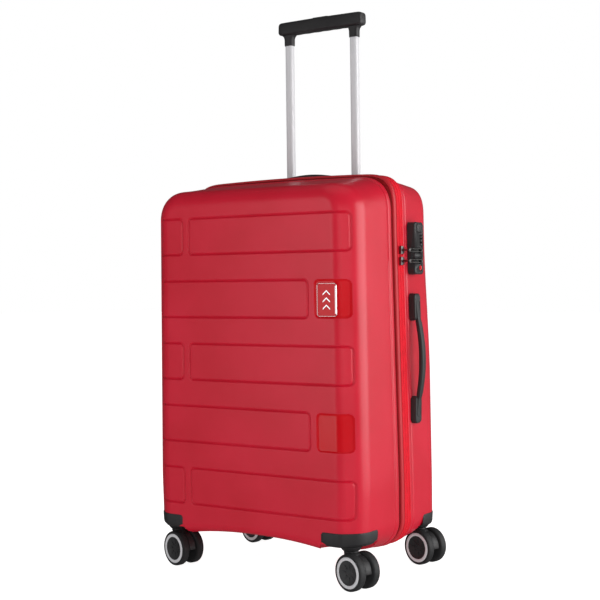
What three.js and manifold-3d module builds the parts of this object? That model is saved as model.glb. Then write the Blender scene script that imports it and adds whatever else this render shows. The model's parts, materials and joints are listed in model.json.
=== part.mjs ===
// Hard shell suitcase on four twin-wheel castors, millimetres, +Z up, standing on z = 0.
// X runs across the case (the lock is on the +X side), -Y is the ribbed front of the lid.
import * as THREE from "three";
import { mergeVertices } from "three/addons/utils/BufferGeometryUtils.js";
import Module from "manifold-3d";

const wasm = await Module();
wasm.setup();

// ---- driving dimensions -------------------------------------------------------------
const GAP = 0.3;                    // clearance kept between neighbouring pieces
const FOOTPRINT_SHIFT = [-10, 5];   // centres the overall footprint on the origin

const HALF_WIDTH = 211;             // case side wall, at the zip
const SHELL_TOP = 664;
const SHELL_BOTTOM = 46;
const SHELL_MIDDLE = (SHELL_TOP + SHELL_BOTTOM) / 2;
const TOP_CORNER = 60;
const BOTTOM_CORNER = 50;
const WALL = 3;
const CASE_CURVE = 3;               // curve divisions round a case corner
const EDGE_ROUND = 34;              // rounding between side walls and the big faces
const LID_FACE_Y = -144.5;
const BASE_FACE_Y = 134;
const LID_RIM_Y = -23;
const BASE_RIM_Y = 14;
const ZIP_Y = 2.8;                  // plane where lid and base part
const SIDE_DRAFT = 4;               // how far walls lean in towards a face
const TOP_DRAFT = 12;
const BOTTOM_DRAFT = 15;
const FRAME_DEPTH = 6;              // inner face of the frame behind the zip tapes

const STEM_X = 179.7;
const STEM_Y = 112;
const WHEEL_RADIUS = 30;
const WHEEL_WIDTH = 15;
const WHEEL_OFFSET = 15.5;          // wheel middle to castor middle
const TRAIL = 14;
const SWIVEL = -14 * Math.PI / 180; // how the castors stand turned at rest
const WELL_RADIUS = 51;
const WELL_SIDES = 20;
const WELL_ROOF = 72;                // top of the pocket moulded in the shell over a castor
const GUARD_FOOT = 67.5;
const NECK_RADIUS = 12;
const NECK_TOP = 61.6;
const PIN_RADIUS = 5;
const AXLE_RADIUS = 4;
const GUARD_PROUD = 1.5;
const GUARD_TOP = 92;
const GUARD_HALF_WIDTH = 210.5;
const GUARD_REACH_X = 143;
const GUARD_REACH_Y = 77;

const TUBE_X = 70;
const TUBE_Y = 93;
const TUBE_SIZE = [15, 12];
const TUBE_ROUND = 4;
const TUBE_TOP = 938;
const TUBE_FOOT = 560;
const OUTER_TUBE_FOOT = 84.3;
const COLLAR_FOOT = 926;
const GRIP_FOOT = 946;
const GRIP_TOP = 970;
const GRIP_HALF = 89;
const GRIP_DEPTH = 22;
const CUP_FLOOR = 636;
const CUP_HALF = 95;
const CUP_DEPTH = 32;

const HANDLE_LENGTH = 219;          // carry handle, over both mounts
const MOUNT_LENGTH = 46;
const MOUNT_WIDTH = 20;
const MOUNT_PROUD = 11;
const HANDLE_RISE = 22;             // top of the bowed grip above the shell
const SIDE_HANDLE = { y: 41, z: 361.7 };
const TOP_HANDLE_Y = 50;

const LOCK = { y: 45.5, z: 547, width: 31, height: 88, proud: 11.6, round: 5 };
const LOCK_FACE_X = HALF_WIDTH + 0.4 + LOCK.proud;
const SLOT_Z = [545, 526];
const DIAL_Z = [553.5, 560, 566.5];
const DIAL = { y: 52, radius: 4.8, width: 5, proud: 1 };
const KEY = { y: 49, z: 514, radius: 5 };
const LOCK_BUTTON = { y: 46, z: 581, width: 17, height: 14 };
const SLIDER_Z = [543.7, 525.5];
const LOOP_X = LOCK_FACE_X + 2.6;

// ---- finishes -----------------------------------------------------------------------
function finish(color, roughness, metalness) {
  return () => new THREE.MeshStandardMaterial({ color, roughness, metalness });
}
const redShell = finish("#b8202f", 0.42, 0);
const zipRed = finish("#d8122a", 0.7, 0);
const darkRed = finish("#5c0508", 0.8, 0);
const blackPlastic = finish("#2b2b2c", 0.55, 0);
const blackRubber = finish("#1d1d1e", 0.75, 0);
const satinAluminium = finish("#c9cbcd", 0.35, 0.9);
const steel = finish("#9c9a98", 0.3, 1);
const lining = finish("#2a2c30", 0.9, 0);
const keyRed = finish("#c21a24", 0.4, 0);

// ---- geometry helpers ---------------------------------------------------------------
function toSolid(geometry) {
  const bare = geometry.clone();
  for (const name of Object.keys(bare.attributes)) {
    if (name !== "position") bare.deleteAttribute(name);
  }
  const merged = mergeVertices(bare, 1e-4);
  return new wasm.Manifold(new wasm.Mesh({
    numProp: 3,
    vertProperties: new Float32Array(merged.attributes.position.array),
    triVerts: new Uint32Array(merged.index.array),
  }));
}

function toGeometry(solid) {
  const mesh = solid.getMesh();
  const geometry = new THREE.BufferGeometry();
  geometry.setAttribute("position", new THREE.BufferAttribute(mesh.vertProperties, 3));
  geometry.setIndex(new THREE.BufferAttribute(mesh.triVerts, 1));
  return geometry;
}

function box(x0, x1, y0, y1, z0, z1) {
  const geometry = new THREE.BoxGeometry(x1 - x0, y1 - y0, z1 - z0);
  return geometry.translate((x0 + x1) / 2, (y0 + y1) / 2, (z0 + z1) / 2);
}

function cylinder(radius, x, y, z0, z1, segments = 18) {
  const geometry = new THREE.CylinderGeometry(radius, radius, z1 - z0, segments);
  return geometry.rotateX(Math.PI / 2).translate(x, y, (z0 + z1) / 2);
}

// Rectangle with its own radius at the top and bottom corners, centred on u = 0.
function roundedOutline(path, half, bottom, top, bottomRound, topRound) {
  path.moveTo(-half + bottomRound, bottom);
  path.lineTo(half - bottomRound, bottom);
  path.absarc(half - bottomRound, bottom + bottomRound, bottomRound, -Math.PI / 2, 0);
  path.lineTo(half, top - topRound);
  path.absarc(half - topRound, top - topRound, topRound, 0, Math.PI / 2);
  path.lineTo(-half + topRound, top);
  path.absarc(-half + topRound, top - topRound, topRound, Math.PI / 2, Math.PI);
  path.lineTo(-half, bottom + bottomRound);
  path.absarc(-half + bottomRound, bottom + bottomRound, bottomRound, Math.PI, Math.PI * 1.5);
  return path;
}

function caseOutline(path, inset) {
  return roundedOutline(path, HALF_WIDTH - inset, SHELL_BOTTOM + inset, SHELL_TOP - inset,
    BOTTOM_CORNER - inset, TOP_CORNER - inset);
}

// Extrude an outline drawn in X and Z from y0 to y1.
function extrudeAlongY(shape, y0, y1, curveSegments = CASE_CURVE) {
  const geometry = new THREE.ExtrudeGeometry(shape, {
    depth: y1 - y0, bevelEnabled: false, curveSegments,
  });
  return geometry.rotateX(Math.PI / 2).translate(0, y1, 0);
}

// Extrude a rounded rectangle drawn in X and Y from z0 to z1.
function roundedBar(width, depth, round, z0, z1, curveSegments = 2) {
  const shape = new THREE.Shape();
  roundedOutline(shape, width / 2, -depth / 2, depth / 2, round, round);
  const geometry = new THREE.ExtrudeGeometry(shape, {
    depth: z1 - z0, bevelEnabled: false, curveSegments,
  });
  return geometry.translate(0, 0, z0);
}

function ring(y0, y1, outerInset, innerInset) {
  const shape = caseOutline(new THREE.Shape(), outerInset);
  shape.holes.push(caseOutline(new THREE.Path(), innerInset));
  return extrudeAlongY(shape, y0, y1);
}

// ---- model assembly -----------------------------------------------------------------
const model = new THREE.Group();
const suitcase = new THREE.Group();
suitcase.position.set(FOOTPRINT_SHIFT[0], FOOTPRINT_SHIFT[1], 0);
model.add(suitcase);

function add(name, geometry, material, parent = suitcase) {
  const mesh = new THREE.Mesh(geometry, material());
  mesh.name = name;
  parent.add(mesh);
  return mesh;
}

// ---- shells -------------------------------------------------------------------------
// A full half of the case, from beyond the zip to its big face, leaning in with depth.
function caseHalf(rimY, faceY, inset) {
  const side = Math.sign(faceY);
  const face = faceY - side * inset;
  const round = EDGE_ROUND - inset;
  const shape = caseOutline(new THREE.Shape(), inset + round);
  const length = Math.abs(face - rimY);
  const geometry = new THREE.ExtrudeGeometry(shape, {
    depth: length, bevelThickness: round, bevelSize: round, bevelSegments: 3,
    curveSegments: CASE_CURVE,
  });
  geometry.rotateX(Math.PI / 2);
  const extrudedMiddle = -length / 2;
  geometry.translate(0, face - side * (round + length / 2) - extrudedMiddle, 0);
  const position = geometry.attributes.position;
  for (let i = 0; i < position.count; i += 1) {
    const depth = Math.max(0, (position.getY(i) - rimY) / (faceY - rimY));
    const z = position.getZ(i);
    const lift = z > SHELL_MIDDLE
      ? -TOP_DRAFT * depth * (z - SHELL_MIDDLE) / (SHELL_TOP - SHELL_MIDDLE)
      : BOTTOM_DRAFT * depth * (SHELL_MIDDLE - z) / (SHELL_MIDDLE - SHELL_BOTTOM);
    position.setX(i, position.getX(i) * (1 - depth * SIDE_DRAFT / HALF_WIDTH));
    position.setZ(i, z + lift);
  }
  const keepFrom = side < 0 ? face - 1 : rimY;
  const keepTo = side < 0 ? rimY : face + 1;
  const keep = box(-HALF_WIDTH - 9, HALF_WIDTH + 9, keepFrom, keepTo, 0, SHELL_TOP + 9);
  return toSolid(geometry).intersect(toSolid(keep));
}

function wells(side, radius, roof) {
  const y = side * STEM_Y;
  const left = toSolid(cylinder(radius, -STEM_X, y, -10, roof, WELL_SIDES));
  return left.add(toSolid(cylinder(radius, STEM_X, y, -10, roof, WELL_SIDES)));
}

function shell(rimY, faceY) {
  const side = Math.sign(faceY);
  const outer = caseHalf(rimY, faceY, 0).subtract(wells(side, WELL_RADIUS, WELL_ROOF));
  const hollow = caseHalf(rimY - side * 5, faceY, WALL)
    .subtract(wells(side, WELL_RADIUS + WALL, WELL_ROOF + WALL));
  return outer.subtract(hollow);
}

function frontShell() {
  add("front_shell", toGeometry(shell(LID_RIM_Y, LID_FACE_Y)), redShell);
}

function backShell() {
  const lip = toSolid(ring(ZIP_Y + GAP, BASE_RIM_Y + 10, WALL - 0.4, FRAME_DEPTH));
  const cupHole = box(-CUP_HALF - GAP, CUP_HALF + GAP, TUBE_Y - CUP_DEPTH / 2 - GAP,
    TUBE_Y + CUP_DEPTH / 2 + GAP, CUP_FLOOR, SHELL_TOP + 5);
  const solid = shell(BASE_RIM_Y, BASE_FACE_Y).add(lip).subtract(toSolid(cupHole));
  add("back_shell", toGeometry(solid), redShell);
}

// ---- closure: frame, zip tapes, hinge strip -----------------------------------------
function closure() {
  const bandFrom = -15;
  const bandTo = -5;
  const frame = toSolid(ring(LID_RIM_Y + GAP, ZIP_Y - GAP, WALL + GAP, FRAME_DEPTH));
  const band = toSolid(ring(bandFrom, bandTo, -0.5, WALL + GAP + 0.2));
  add("gusset_band", toGeometry(frame.add(band)), redShell);
  add("expander_zip", ring(LID_RIM_Y + GAP, bandFrom - GAP, 1.2, WALL), darkRed);
  add("lid_zip_tape", ring(bandTo + GAP, ZIP_Y - GAP, -1, WALL), zipRed);
  add("body_zip_tape", ring(ZIP_Y + GAP, BASE_RIM_Y - GAP, -1, WALL - 0.4 - GAP), zipRed);
  const stripX = -HALF_WIDTH + FRAME_DEPTH + GAP;
  add("hinge_strip", box(stripX, stripX + 0.8, ZIP_Y + GAP, 24, 120, 590), zipRed);
}

// ---- interior: divider, lining, packing straps --------------------------------------
const LINING_INSET = FRAME_DEPTH + 1.5;
const LINING_FRONT_Y = 26;
const LINING_BACK_Y = 75;

function liningBlock(inset, frontY, backY) {
  const slab = box(-HALF_WIDTH, HALF_WIDTH, frontY, backY, 0, SHELL_TOP);
  return caseHalf(BASE_RIM_Y, BASE_FACE_Y, inset).intersect(toSolid(slab))
    .subtract(wells(1, WELL_RADIUS + inset, WELL_ROOF + inset));
}

function interior() {
  const dividerShape = caseOutline(new THREE.Shape(), LINING_INSET);
  add("lid_divider", extrudeAlongY(dividerShape, -31, -27), lining);

  const solid = liningBlock(WALL + 1.2, LINING_FRONT_Y, LINING_BACK_Y)
    .subtract(liningBlock(WALL + 2.8, LINING_FRONT_Y - 5, LINING_BACK_Y - 1.5));
  add("back_lining", toGeometry(solid), lining);

  const strapY = [LINING_BACK_Y - 4.2, LINING_BACK_Y - 2];
  const strapZ = [330, 368];
  const buckleHalf = 34;
  add("strap_left", box(-196, -buckleHalf - GAP, ...strapY, ...strapZ), lining);
  add("strap_right", box(buckleHalf + GAP, 196, ...strapY, ...strapZ), lining);
  add("strap_buckle", box(-buckleHalf, buckleHalf, strapY[0] - 8, strapY[1],
    strapZ[0] - 3, strapZ[1] + 3), blackPlastic);
}

// ---- castors and corner guards ------------------------------------------------------
function cornerGuard(name, sideX, sideY) {
  const rimY = sideY < 0 ? LID_RIM_Y : BASE_RIM_Y;
  const faceY = sideY < 0 ? LID_FACE_Y : BASE_FACE_Y;
  const xs = [sideX * GUARD_REACH_X, sideX * (HALF_WIDTH + 9)].sort((a, b) => a - b);
  const ys = [sideY * GUARD_REACH_Y, sideY * 150].sort((a, b) => a - b);
  const corner = toSolid(box(...xs, ...ys, GUARD_FOOT, GUARD_TOP));
  const depth = 2 * (Math.abs(faceY) + GUARD_PROUD);
  const plan = toSolid(roundedBar(2 * (GUARD_HALF_WIDTH), depth, EDGE_ROUND + GUARD_PROUD,
    GUARD_FOOT, GUARD_TOP));
  const x = sideX * STEM_X;
  const y = sideY * STEM_Y;
  const roofSeat = toSolid(cylinder(WELL_RADIUS - GAP, x, y, 0, WELL_ROOF - GAP, WELL_SIDES));
  const taken = caseHalf(rimY, faceY, -GAP).subtract(roofSeat);
  const funnel = new THREE.LatheGeometry([
    new THREE.Vector2(0, NECK_TOP + GAP),
    new THREE.Vector2(14, NECK_TOP + GAP),
    new THREE.Vector2(24, GUARD_FOOT + 1),
    new THREE.Vector2(0, GUARD_FOOT + 1),
  ], WELL_SIDES);
  funnel.rotateX(Math.PI / 2).translate(x, y, 0);
  const bore = toSolid(cylinder(PIN_RADIUS + GAP, x, y, 0, 100, 16));
  const solid = plan.intersect(corner).subtract(taken).add(toSolid(funnel)).subtract(bore);
  add(name, toGeometry(solid), blackPlastic);
}

// Swivel pin and neck over a body that fills the space between the wheels, down to the axle.
function castorFork(name, castor) {
  const half = WHEEL_OFFSET - WHEEL_WIDTH / 2 - 1;
  const reach = 26;
  const foot = WHEEL_RADIUS - 8;
  const fender = new THREE.Shape();
  fender.moveTo(TRAIL + reach, WHEEL_RADIUS - 2);
  fender.absarc(TRAIL, WHEEL_RADIUS, reach, 0, Math.PI);
  fender.lineTo(TRAIL - reach, WHEEL_RADIUS - 2);
  fender.lineTo(TRAIL - 8, foot);
  fender.lineTo(TRAIL + 8, foot);
  fender.closePath();
  const axleHole = new THREE.Path();
  axleHole.absarc(TRAIL, WHEEL_RADIUS, AXLE_RADIUS + GAP, 0, Math.PI * 2);
  fender.holes.push(axleHole);
  const body = toSolid(extrudeAlongY(fender, -half, half, 5));
  const shoulder = toSolid(box(-10, TRAIL, -half, half, 44, NECK_TOP - 1));
  const neck = toSolid(cylinder(NECK_RADIUS, 0, 0, 60.2, NECK_TOP));
  const pin = toSolid(cylinder(PIN_RADIUS, 0, 0, 60.2, WELL_ROOF - 2 * GAP));
  add(name, toGeometry(body.add(shoulder).add(neck).add(pin)), blackPlastic, castor);
}

function castorWheel(name, side, castor) {
  const half = WHEEL_WIDTH / 2;
  const profile = [
    [0, half - 3.2], [19, half - 3.2], [20, half], [26.5, half],
    [WHEEL_RADIUS, half - 3.5], [WHEEL_RADIUS, -half + 3.5], [26.5, -half],
    [AXLE_RADIUS + GAP, -half], [AXLE_RADIUS + GAP, half - 5], [0, half - 5],
  ].map(([radius, along]) => new THREE.Vector2(radius, along)).reverse();
  const geometry = new THREE.LatheGeometry(profile, 24);
  if (side < 0) geometry.rotateX(Math.PI);
  const wheel = add(name, geometry, blackRubber, castor);
  wheel.position.set(TRAIL, side * WHEEL_OFFSET, WHEEL_RADIUS);
}

function castors() {
  const corners = [
    ["front_left", -1, -1], ["front_right", 1, -1],
    ["rear_left", -1, 1], ["rear_right", 1, 1],
  ];
  for (const [label, sideX, sideY] of corners) {
    cornerGuard(`corner_guard_${label}`, sideX, sideY);
    const castor = new THREE.Group();
    castor.position.set(sideX * STEM_X, sideY * STEM_Y, 0);
    castor.rotation.z = SWIVEL;
    suitcase.add(castor);
    castorFork(`castor_fork_${label}`, castor);
    const axleHalf = WHEEL_OFFSET + WHEEL_WIDTH / 2 - 5.4;
    const axle = new THREE.CylinderGeometry(AXLE_RADIUS, AXLE_RADIUS, axleHalf * 2, 14);
    add(`castor_axle_${label}`, axle.translate(TRAIL, 0, WHEEL_RADIUS), steel, castor);
    castorWheel(`wheel_${label}_a`, -1, castor);
    castorWheel(`wheel_${label}_b`, 1, castor);
  }
}

// ---- trolley ------------------------------------------------------------------------
function tubeSection(width, depth, round, x, z0, z1) {
  return roundedBar(width, depth, round, z0, z1).translate(x, TUBE_Y, 0);
}

function trolleyCup() {
  const y0 = TUBE_Y - CUP_DEPTH / 2;
  const y1 = TUBE_Y + CUP_DEPTH / 2;
  const flangeZ = 657.4;
  const walls = toSolid(box(-CUP_HALF, CUP_HALF, y0, y1, CUP_FLOOR - 3, flangeZ));
  const flange = toSolid(box(-CUP_HALF - 5, CUP_HALF + 5, y0 - 4, y1 + 4, flangeZ, flangeZ + 2.6));
  const hollow = toSolid(box(-CUP_HALF + 2.5, CUP_HALF - 2.5, y0 + 2.5, y1 - 2.5,
    CUP_FLOOR, flangeZ + 10));
  let solid = walls.add(flange).subtract(hollow);
  const shellBelow = caseHalf(BASE_RIM_Y, BASE_FACE_Y, -GAP);
  solid = solid.subtract(shellBelow.subtract(toSolid(box(-CUP_HALF, CUP_HALF, y0, y1,
    CUP_FLOOR - 9, 700))));
  for (const side of [-1, 1]) {
    solid = solid.subtract(toSolid(tubeSection(TUBE_SIZE[0] + 0.8, TUBE_SIZE[1] + 0.8,
      TUBE_ROUND + 0.4, side * TUBE_X, CUP_FLOOR - 9, CUP_FLOOR + 9)));
  }
  add("trolley_cup", toGeometry(solid), blackPlastic);
}

function trolleyTubes() {
  for (const [label, side] of [["left", -1], ["right", 1]]) {
    const x = side * TUBE_X;
    const outer = toSolid(tubeSection(19, 16, 5, x, OUTER_TUBE_FOOT, CUP_FLOOR - 3 - GAP));
    const bore = toSolid(tubeSection(TUBE_SIZE[0] + 0.8, TUBE_SIZE[1] + 0.8,
      TUBE_ROUND + 0.4, x, 0, 800));
    add(`outer_tube_${label}`, toGeometry(outer.subtract(bore)), satinAluminium);
    add(`inner_tube_${label}`, tubeSection(...TUBE_SIZE, TUBE_ROUND, x, TUBE_FOOT, TUBE_TOP),
      satinAluminium);
    const collar = toSolid(tubeSection(19, 16, 5, x, COLLAR_FOOT, GRIP_FOOT - GAP));
    const socket = toSolid(tubeSection(TUBE_SIZE[0] + 0.6, TUBE_SIZE[1] + 0.6,
      TUBE_ROUND + 0.3, x, COLLAR_FOOT - 1, TUBE_TOP + GAP));
    add(`trolley_collar_${label}`, toGeometry(collar.subtract(socket)), blackPlastic);
  }
  add("trolley_foot", box(-TUBE_X - 16, TUBE_X + 16, TUBE_Y - 11, TUBE_Y + 11, 66,
    OUTER_TUBE_FOOT - GAP), blackPlastic);
}

const GRIP_BUTTON = { half: 17, depth: 12, travel: 4 };

function trolleyGrip() {
  const shape = new THREE.Shape();
  shape.moveTo(-GRIP_HALF + 7, GRIP_FOOT);
  shape.lineTo(GRIP_HALF - 7, GRIP_FOOT);
  shape.lineTo(GRIP_HALF, GRIP_FOOT + 8);
  shape.lineTo(GRIP_HALF - 5, GRIP_TOP);
  shape.lineTo(-GRIP_HALF + 5, GRIP_TOP);
  shape.lineTo(-GRIP_HALF, GRIP_FOOT + 8);
  shape.closePath();
  const bar = new THREE.ExtrudeGeometry(shape, {
    depth: GRIP_DEPTH - 8, bevelThickness: 4, bevelSize: 2, bevelOffset: -2, bevelSegments: 2,
  });
  bar.rotateX(Math.PI / 2).translate(0, TUBE_Y + GRIP_DEPTH / 2 - 4, 0);
  const recess = box(-GRIP_BUTTON.half - GAP, GRIP_BUTTON.half + GAP,
    TUBE_Y - GRIP_BUTTON.depth / 2 - GAP, TUBE_Y + GRIP_BUTTON.depth / 2 + GAP,
    GRIP_TOP - 6 - GRIP_BUTTON.travel - GAP, GRIP_TOP + 5);
  add("trolley_grip", toGeometry(toSolid(bar).subtract(toSolid(recess))), blackPlastic);
  const button = roundedBar(GRIP_BUTTON.half * 2, GRIP_BUTTON.depth, 3,
    GRIP_TOP - 6, GRIP_TOP + 1);
  add("trolley_button", button.translate(0, TUBE_Y, 0), blackPlastic);
}

// ---- carry handles ------------------------------------------------------------------
// Built lying along local X with the shell surface at local z = 0.
function carryHandle(label, holder) {
  const end = HANDLE_LENGTH / 2;
  const inner = end - MOUNT_LENGTH;
  const cheek = 3.4;
  const gripWidth = MOUNT_WIDTH - 2 * cheek - 2 * GAP;
  for (const [side, suffix] of [[-1, "a"], [1, "b"]]) {
    const shape = new THREE.Shape();
    shape.moveTo(side * inner, 0);
    shape.lineTo(side * end, 0);
    shape.lineTo(side * end, MOUNT_PROUD - 5);
    shape.absarc(side * (end - 5), MOUNT_PROUD - 5, 5, side > 0 ? 0 : Math.PI, Math.PI / 2,
      side < 0);
    shape.lineTo(side * inner, MOUNT_PROUD);
    shape.closePath();
    const block = toSolid(extrudeAlongY(shape, -MOUNT_WIDTH / 2, MOUNT_WIDTH / 2, 2));
    const xs = [side * (inner - 1), side * (end - 9)].sort((a, b) => a - b);
    const channel = box(...xs, -gripWidth / 2 - GAP, gripWidth / 2 + GAP, 2.5, 30);
    add(`${label}_mount_${suffix}`, toGeometry(block.subtract(toSolid(channel))),
      blackPlastic, holder);
  }
  const reach = end - 9 - 2;
  const thickness = 8;
  const foot = 3;
  const rise = HANDLE_RISE - foot - thickness;
  const grip = new THREE.Shape();
  const steps = 14;
  const bow = (u) => foot + rise * (0.5 + 0.5 * Math.cos(Math.PI * Math.min(1, Math.abs(u))));
  const station = (i) => -1 + (2 * i) / steps;
  grip.moveTo(-reach, foot);
  for (let i = 1; i <= steps; i += 1) grip.lineTo(station(i) * reach, bow(station(i)));
  for (let i = steps; i >= 0; i -= 1) {
    const top = Math.max(bow(station(i)) + thickness * 0.75, foot + 5);
    grip.lineTo(station(i) * reach, top + (1 - Math.abs(station(i))) * thickness * 0.25);
  }
  grip.closePath();
  add(`${label}_grip`, extrudeAlongY(grip, -gripWidth / 2, gripWidth / 2), blackPlastic, holder);
}

function carryHandles() {
  const side = new THREE.Group();
  side.position.set(HALF_WIDTH + 0.4, SIDE_HANDLE.y, SIDE_HANDLE.z);
  side.rotation.y = Math.PI / 2;
  suitcase.add(side);
  carryHandle("side_handle", side);
  const top = new THREE.Group();
  top.position.set(0, TOP_HANDLE_Y, SHELL_TOP - 2.4);
  suitcase.add(top);
  carryHandle("top_handle", top);
}

// ---- combination lock ---------------------------------------------------------------
// A plate drawn in Y and Z, standing proud along +X from x0 to x1.
function platedAlongX(width, height, round, y, z, x0, x1) {
  const plate = roundedBar(height, width, round, 0, x1 - x0);
  return plate.rotateY(Math.PI / 2).translate(x0, y, z);
}

function lock() {
  const foot = HALF_WIDTH + 0.4;
  let body = toSolid(platedAlongX(LOCK.width, LOCK.height, LOCK.round, LOCK.y, LOCK.z,
    foot, LOCK_FACE_X));
  for (const z of SLOT_Z) {
    body = body.subtract(toSolid(box(LOCK_FACE_X - 4, LOCK_FACE_X + 1,
      LOCK.y - LOCK.width / 2 - 1, 51, z - 4, z + 4)));
  }
  body = body.subtract(toSolid(box(foot + 2.4, LOCK_FACE_X + 1, DIAL.y - DIAL.radius - 0.4,
    DIAL.y + DIAL.radius + 0.4, DIAL_Z[0] - DIAL.width / 2 - 0.5, DIAL_Z[2] + DIAL.width / 2 + 0.5)));
  body = body.subtract(toSolid(platedAlongX(LOCK_BUTTON.width + 2 * GAP,
    LOCK_BUTTON.height + 2 * GAP, 4, LOCK_BUTTON.y, LOCK_BUTTON.z, foot + 4, LOCK_FACE_X + 1)));
  const keyBore = platedAlongX(2 * KEY.radius + 2 * GAP, 2 * KEY.radius + 2 * GAP,
    KEY.radius, KEY.y, KEY.z, foot + 4, LOCK_FACE_X + 1);
  body = body.subtract(toSolid(keyBore));
  add("lock_body", toGeometry(body), blackPlastic);

  add("lock_button", platedAlongX(LOCK_BUTTON.width, LOCK_BUTTON.height, 4, LOCK_BUTTON.y,
    LOCK_BUTTON.z, LOCK_FACE_X - 5, LOCK_FACE_X + 0.8), blackPlastic);
  DIAL_Z.forEach((z, i) => {
    const dial = new THREE.CylinderGeometry(DIAL.radius, DIAL.radius, DIAL.width, 16);
    add(`lock_dial_${i + 1}`, dial.rotateX(Math.PI / 2)
      .translate(LOCK_FACE_X + DIAL.proud - DIAL.radius, DIAL.y, z), blackPlastic);
  });
  const key = new THREE.CylinderGeometry(KEY.radius, KEY.radius, 5, 16);
  const keyhole = toSolid(box(LOCK_FACE_X - 2, LOCK_FACE_X + 2, KEY.y - 0.7, KEY.y + 0.7,
    KEY.z - 3, KEY.z + 3));
  const plug = toSolid(key.rotateZ(Math.PI / 2).translate(LOCK_FACE_X - 2.2, KEY.y, KEY.z));
  add("key_cylinder", toGeometry(plug.subtract(keyhole)), keyRed);
}

// ---- zip sliders and wire pull loops ------------------------------------------------
function zipPulls() {
  const seat = HALF_WIDTH + 1 + GAP;
  const loopEye = 7;
  const loopTip = 50;
  const wire = 1.1;
  const loopHalf = 3.4;
  const labels = ["upper", "lower"];
  SLIDER_Z.forEach((z, i) => {
    const base = toSolid(box(seat, seat + 3.6, ZIP_Y - 5, ZIP_Y + 5.5, z - 7, z + 7));
    const post = toSolid(box(seat + 3, LOOP_X + 3.4, ZIP_Y - 1.5, ZIP_Y + 9, z - 1.4, z + 1.4));
    const eye = toSolid(box(LOOP_X - 1.9, LOOP_X + 1.9, loopEye - 1.9, loopEye + 1.9,
      z - 5, z + 5));
    add(`zip_slider_${labels[i]}`, toGeometry(base.add(post.subtract(eye))), steel);
    const loop = new THREE.TorusGeometry(loopHalf, wire, 6, 14);
    const position = loop.attributes.position;
    for (let v = 0; v < position.count; v += 1) {
      if (position.getX(v) > 1e-6) {
        position.setX(v, position.getX(v) + loopTip - loopEye - 2 * loopHalf);
      }
    }
    loop.rotateZ(Math.PI / 2).rotateY(Math.PI / 2);
    add(`pull_loop_${labels[i]}`, loop.translate(LOOP_X, loopEye + loopHalf, z), steel);
  });
}

// ---- emblem -------------------------------------------------------------------------
function emblem() {
  const shape = new THREE.Shape();
  roundedOutline(shape, 15, -24, 24, 3, 3);
  const plate = new THREE.ExtrudeGeometry(shape, {
    depth: 1.4, bevelEnabled: false, curveSegments: 3,
  });
  plate.rotateX(Math.PI / 2).translate(158, LID_FACE_Y - GAP, 465.6);
  add("front_emblem", plate, steel);
}

frontShell();
backShell();
closure();
interior();
castors();
trolleyCup();
trolleyTubes();
trolleyGrip();
carryHandles();
lock();
zipPulls();
emblem();

export default model;
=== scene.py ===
import json
import math

import bmesh
import bpy
import numpy as np
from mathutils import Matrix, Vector


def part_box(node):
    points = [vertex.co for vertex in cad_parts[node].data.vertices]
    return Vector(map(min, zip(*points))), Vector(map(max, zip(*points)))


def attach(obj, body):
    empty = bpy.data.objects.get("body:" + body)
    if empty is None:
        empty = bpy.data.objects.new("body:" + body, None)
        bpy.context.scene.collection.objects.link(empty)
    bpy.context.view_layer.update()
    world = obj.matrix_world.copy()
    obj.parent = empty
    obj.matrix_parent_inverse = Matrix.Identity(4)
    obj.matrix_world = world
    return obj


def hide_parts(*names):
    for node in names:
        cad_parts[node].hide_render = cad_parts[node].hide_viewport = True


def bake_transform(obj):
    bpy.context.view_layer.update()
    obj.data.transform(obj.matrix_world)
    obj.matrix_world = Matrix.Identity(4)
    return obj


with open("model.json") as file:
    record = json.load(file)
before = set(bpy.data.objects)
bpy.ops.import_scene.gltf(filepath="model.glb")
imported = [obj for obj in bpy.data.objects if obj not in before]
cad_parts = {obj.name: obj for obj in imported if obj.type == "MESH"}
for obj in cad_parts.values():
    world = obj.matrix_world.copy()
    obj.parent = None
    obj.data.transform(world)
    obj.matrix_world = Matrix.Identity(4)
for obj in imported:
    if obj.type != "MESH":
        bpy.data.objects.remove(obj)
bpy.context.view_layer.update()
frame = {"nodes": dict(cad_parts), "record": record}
BODY_OF = {
    node: body
    for body, nodes in frame["record"]["behaviour"]["bodies"].items()
    for node in nodes
}

# ---- the case, in millimetres from the middle of its width and the floor ---------------
shell_low, shell_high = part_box("front_shell")
ORIGIN = np.array([(shell_low.x + shell_high.x) / 2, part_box("lid_zip_tape")[1].y - 0.0025, 0.0])
SIDES = ((-1, "left"), (1, "right"))

CORNER_X = 151.0            # corner arcs of the outline turn about these points
CORNER_TOP = 604.0
CORNER_BOTTOM = 96.0
ROUND_SIDE = 60.0
ROUND_TOP = 60.0
ROUND_BOTTOM = 50.0
LID_FACE, LID_RIM = -144.5, -23.0
BASE_FACE, BASE_RIM = 134.0, 14.0
ZIP_PLANE = 2.8
KNEE = 44.0                 # depth at which the rounded edge has become the side wall
TAPER = 4.7e-5              # the case is a little wider at the foot
MID_HEIGHT = 355.0
SIDE_SHOULDER, SIDE_KNEE = (29, 0), (59.2, 25.3)    # where the face turns into the side wall
CROWN = 8.0                 # how far the soft band bows up over the top
SQUARENESS = ([-144, -60, -23, -14, 10, 60, 100, 134], [2.0, 2.3, 2.5, 3.4, 3.6, 3.6, 3.2, 2.4])
CROWN_ALONG = ([-144, -95, -23, -15, 11, 14, 20, 44], [0, 0, 0.6, 1, 1, 0.55, 0.5, 0])
FOOT_TUCK = ([-60, 20], [0.013, 0.004])     # the walls draw in again just above the castors
UPPER_BACK = 0.032          # the back half narrows towards its top corners
ZIP_LEAN = 0.020            # the zip line leans back towards the foot
WALL = 2.6

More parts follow.
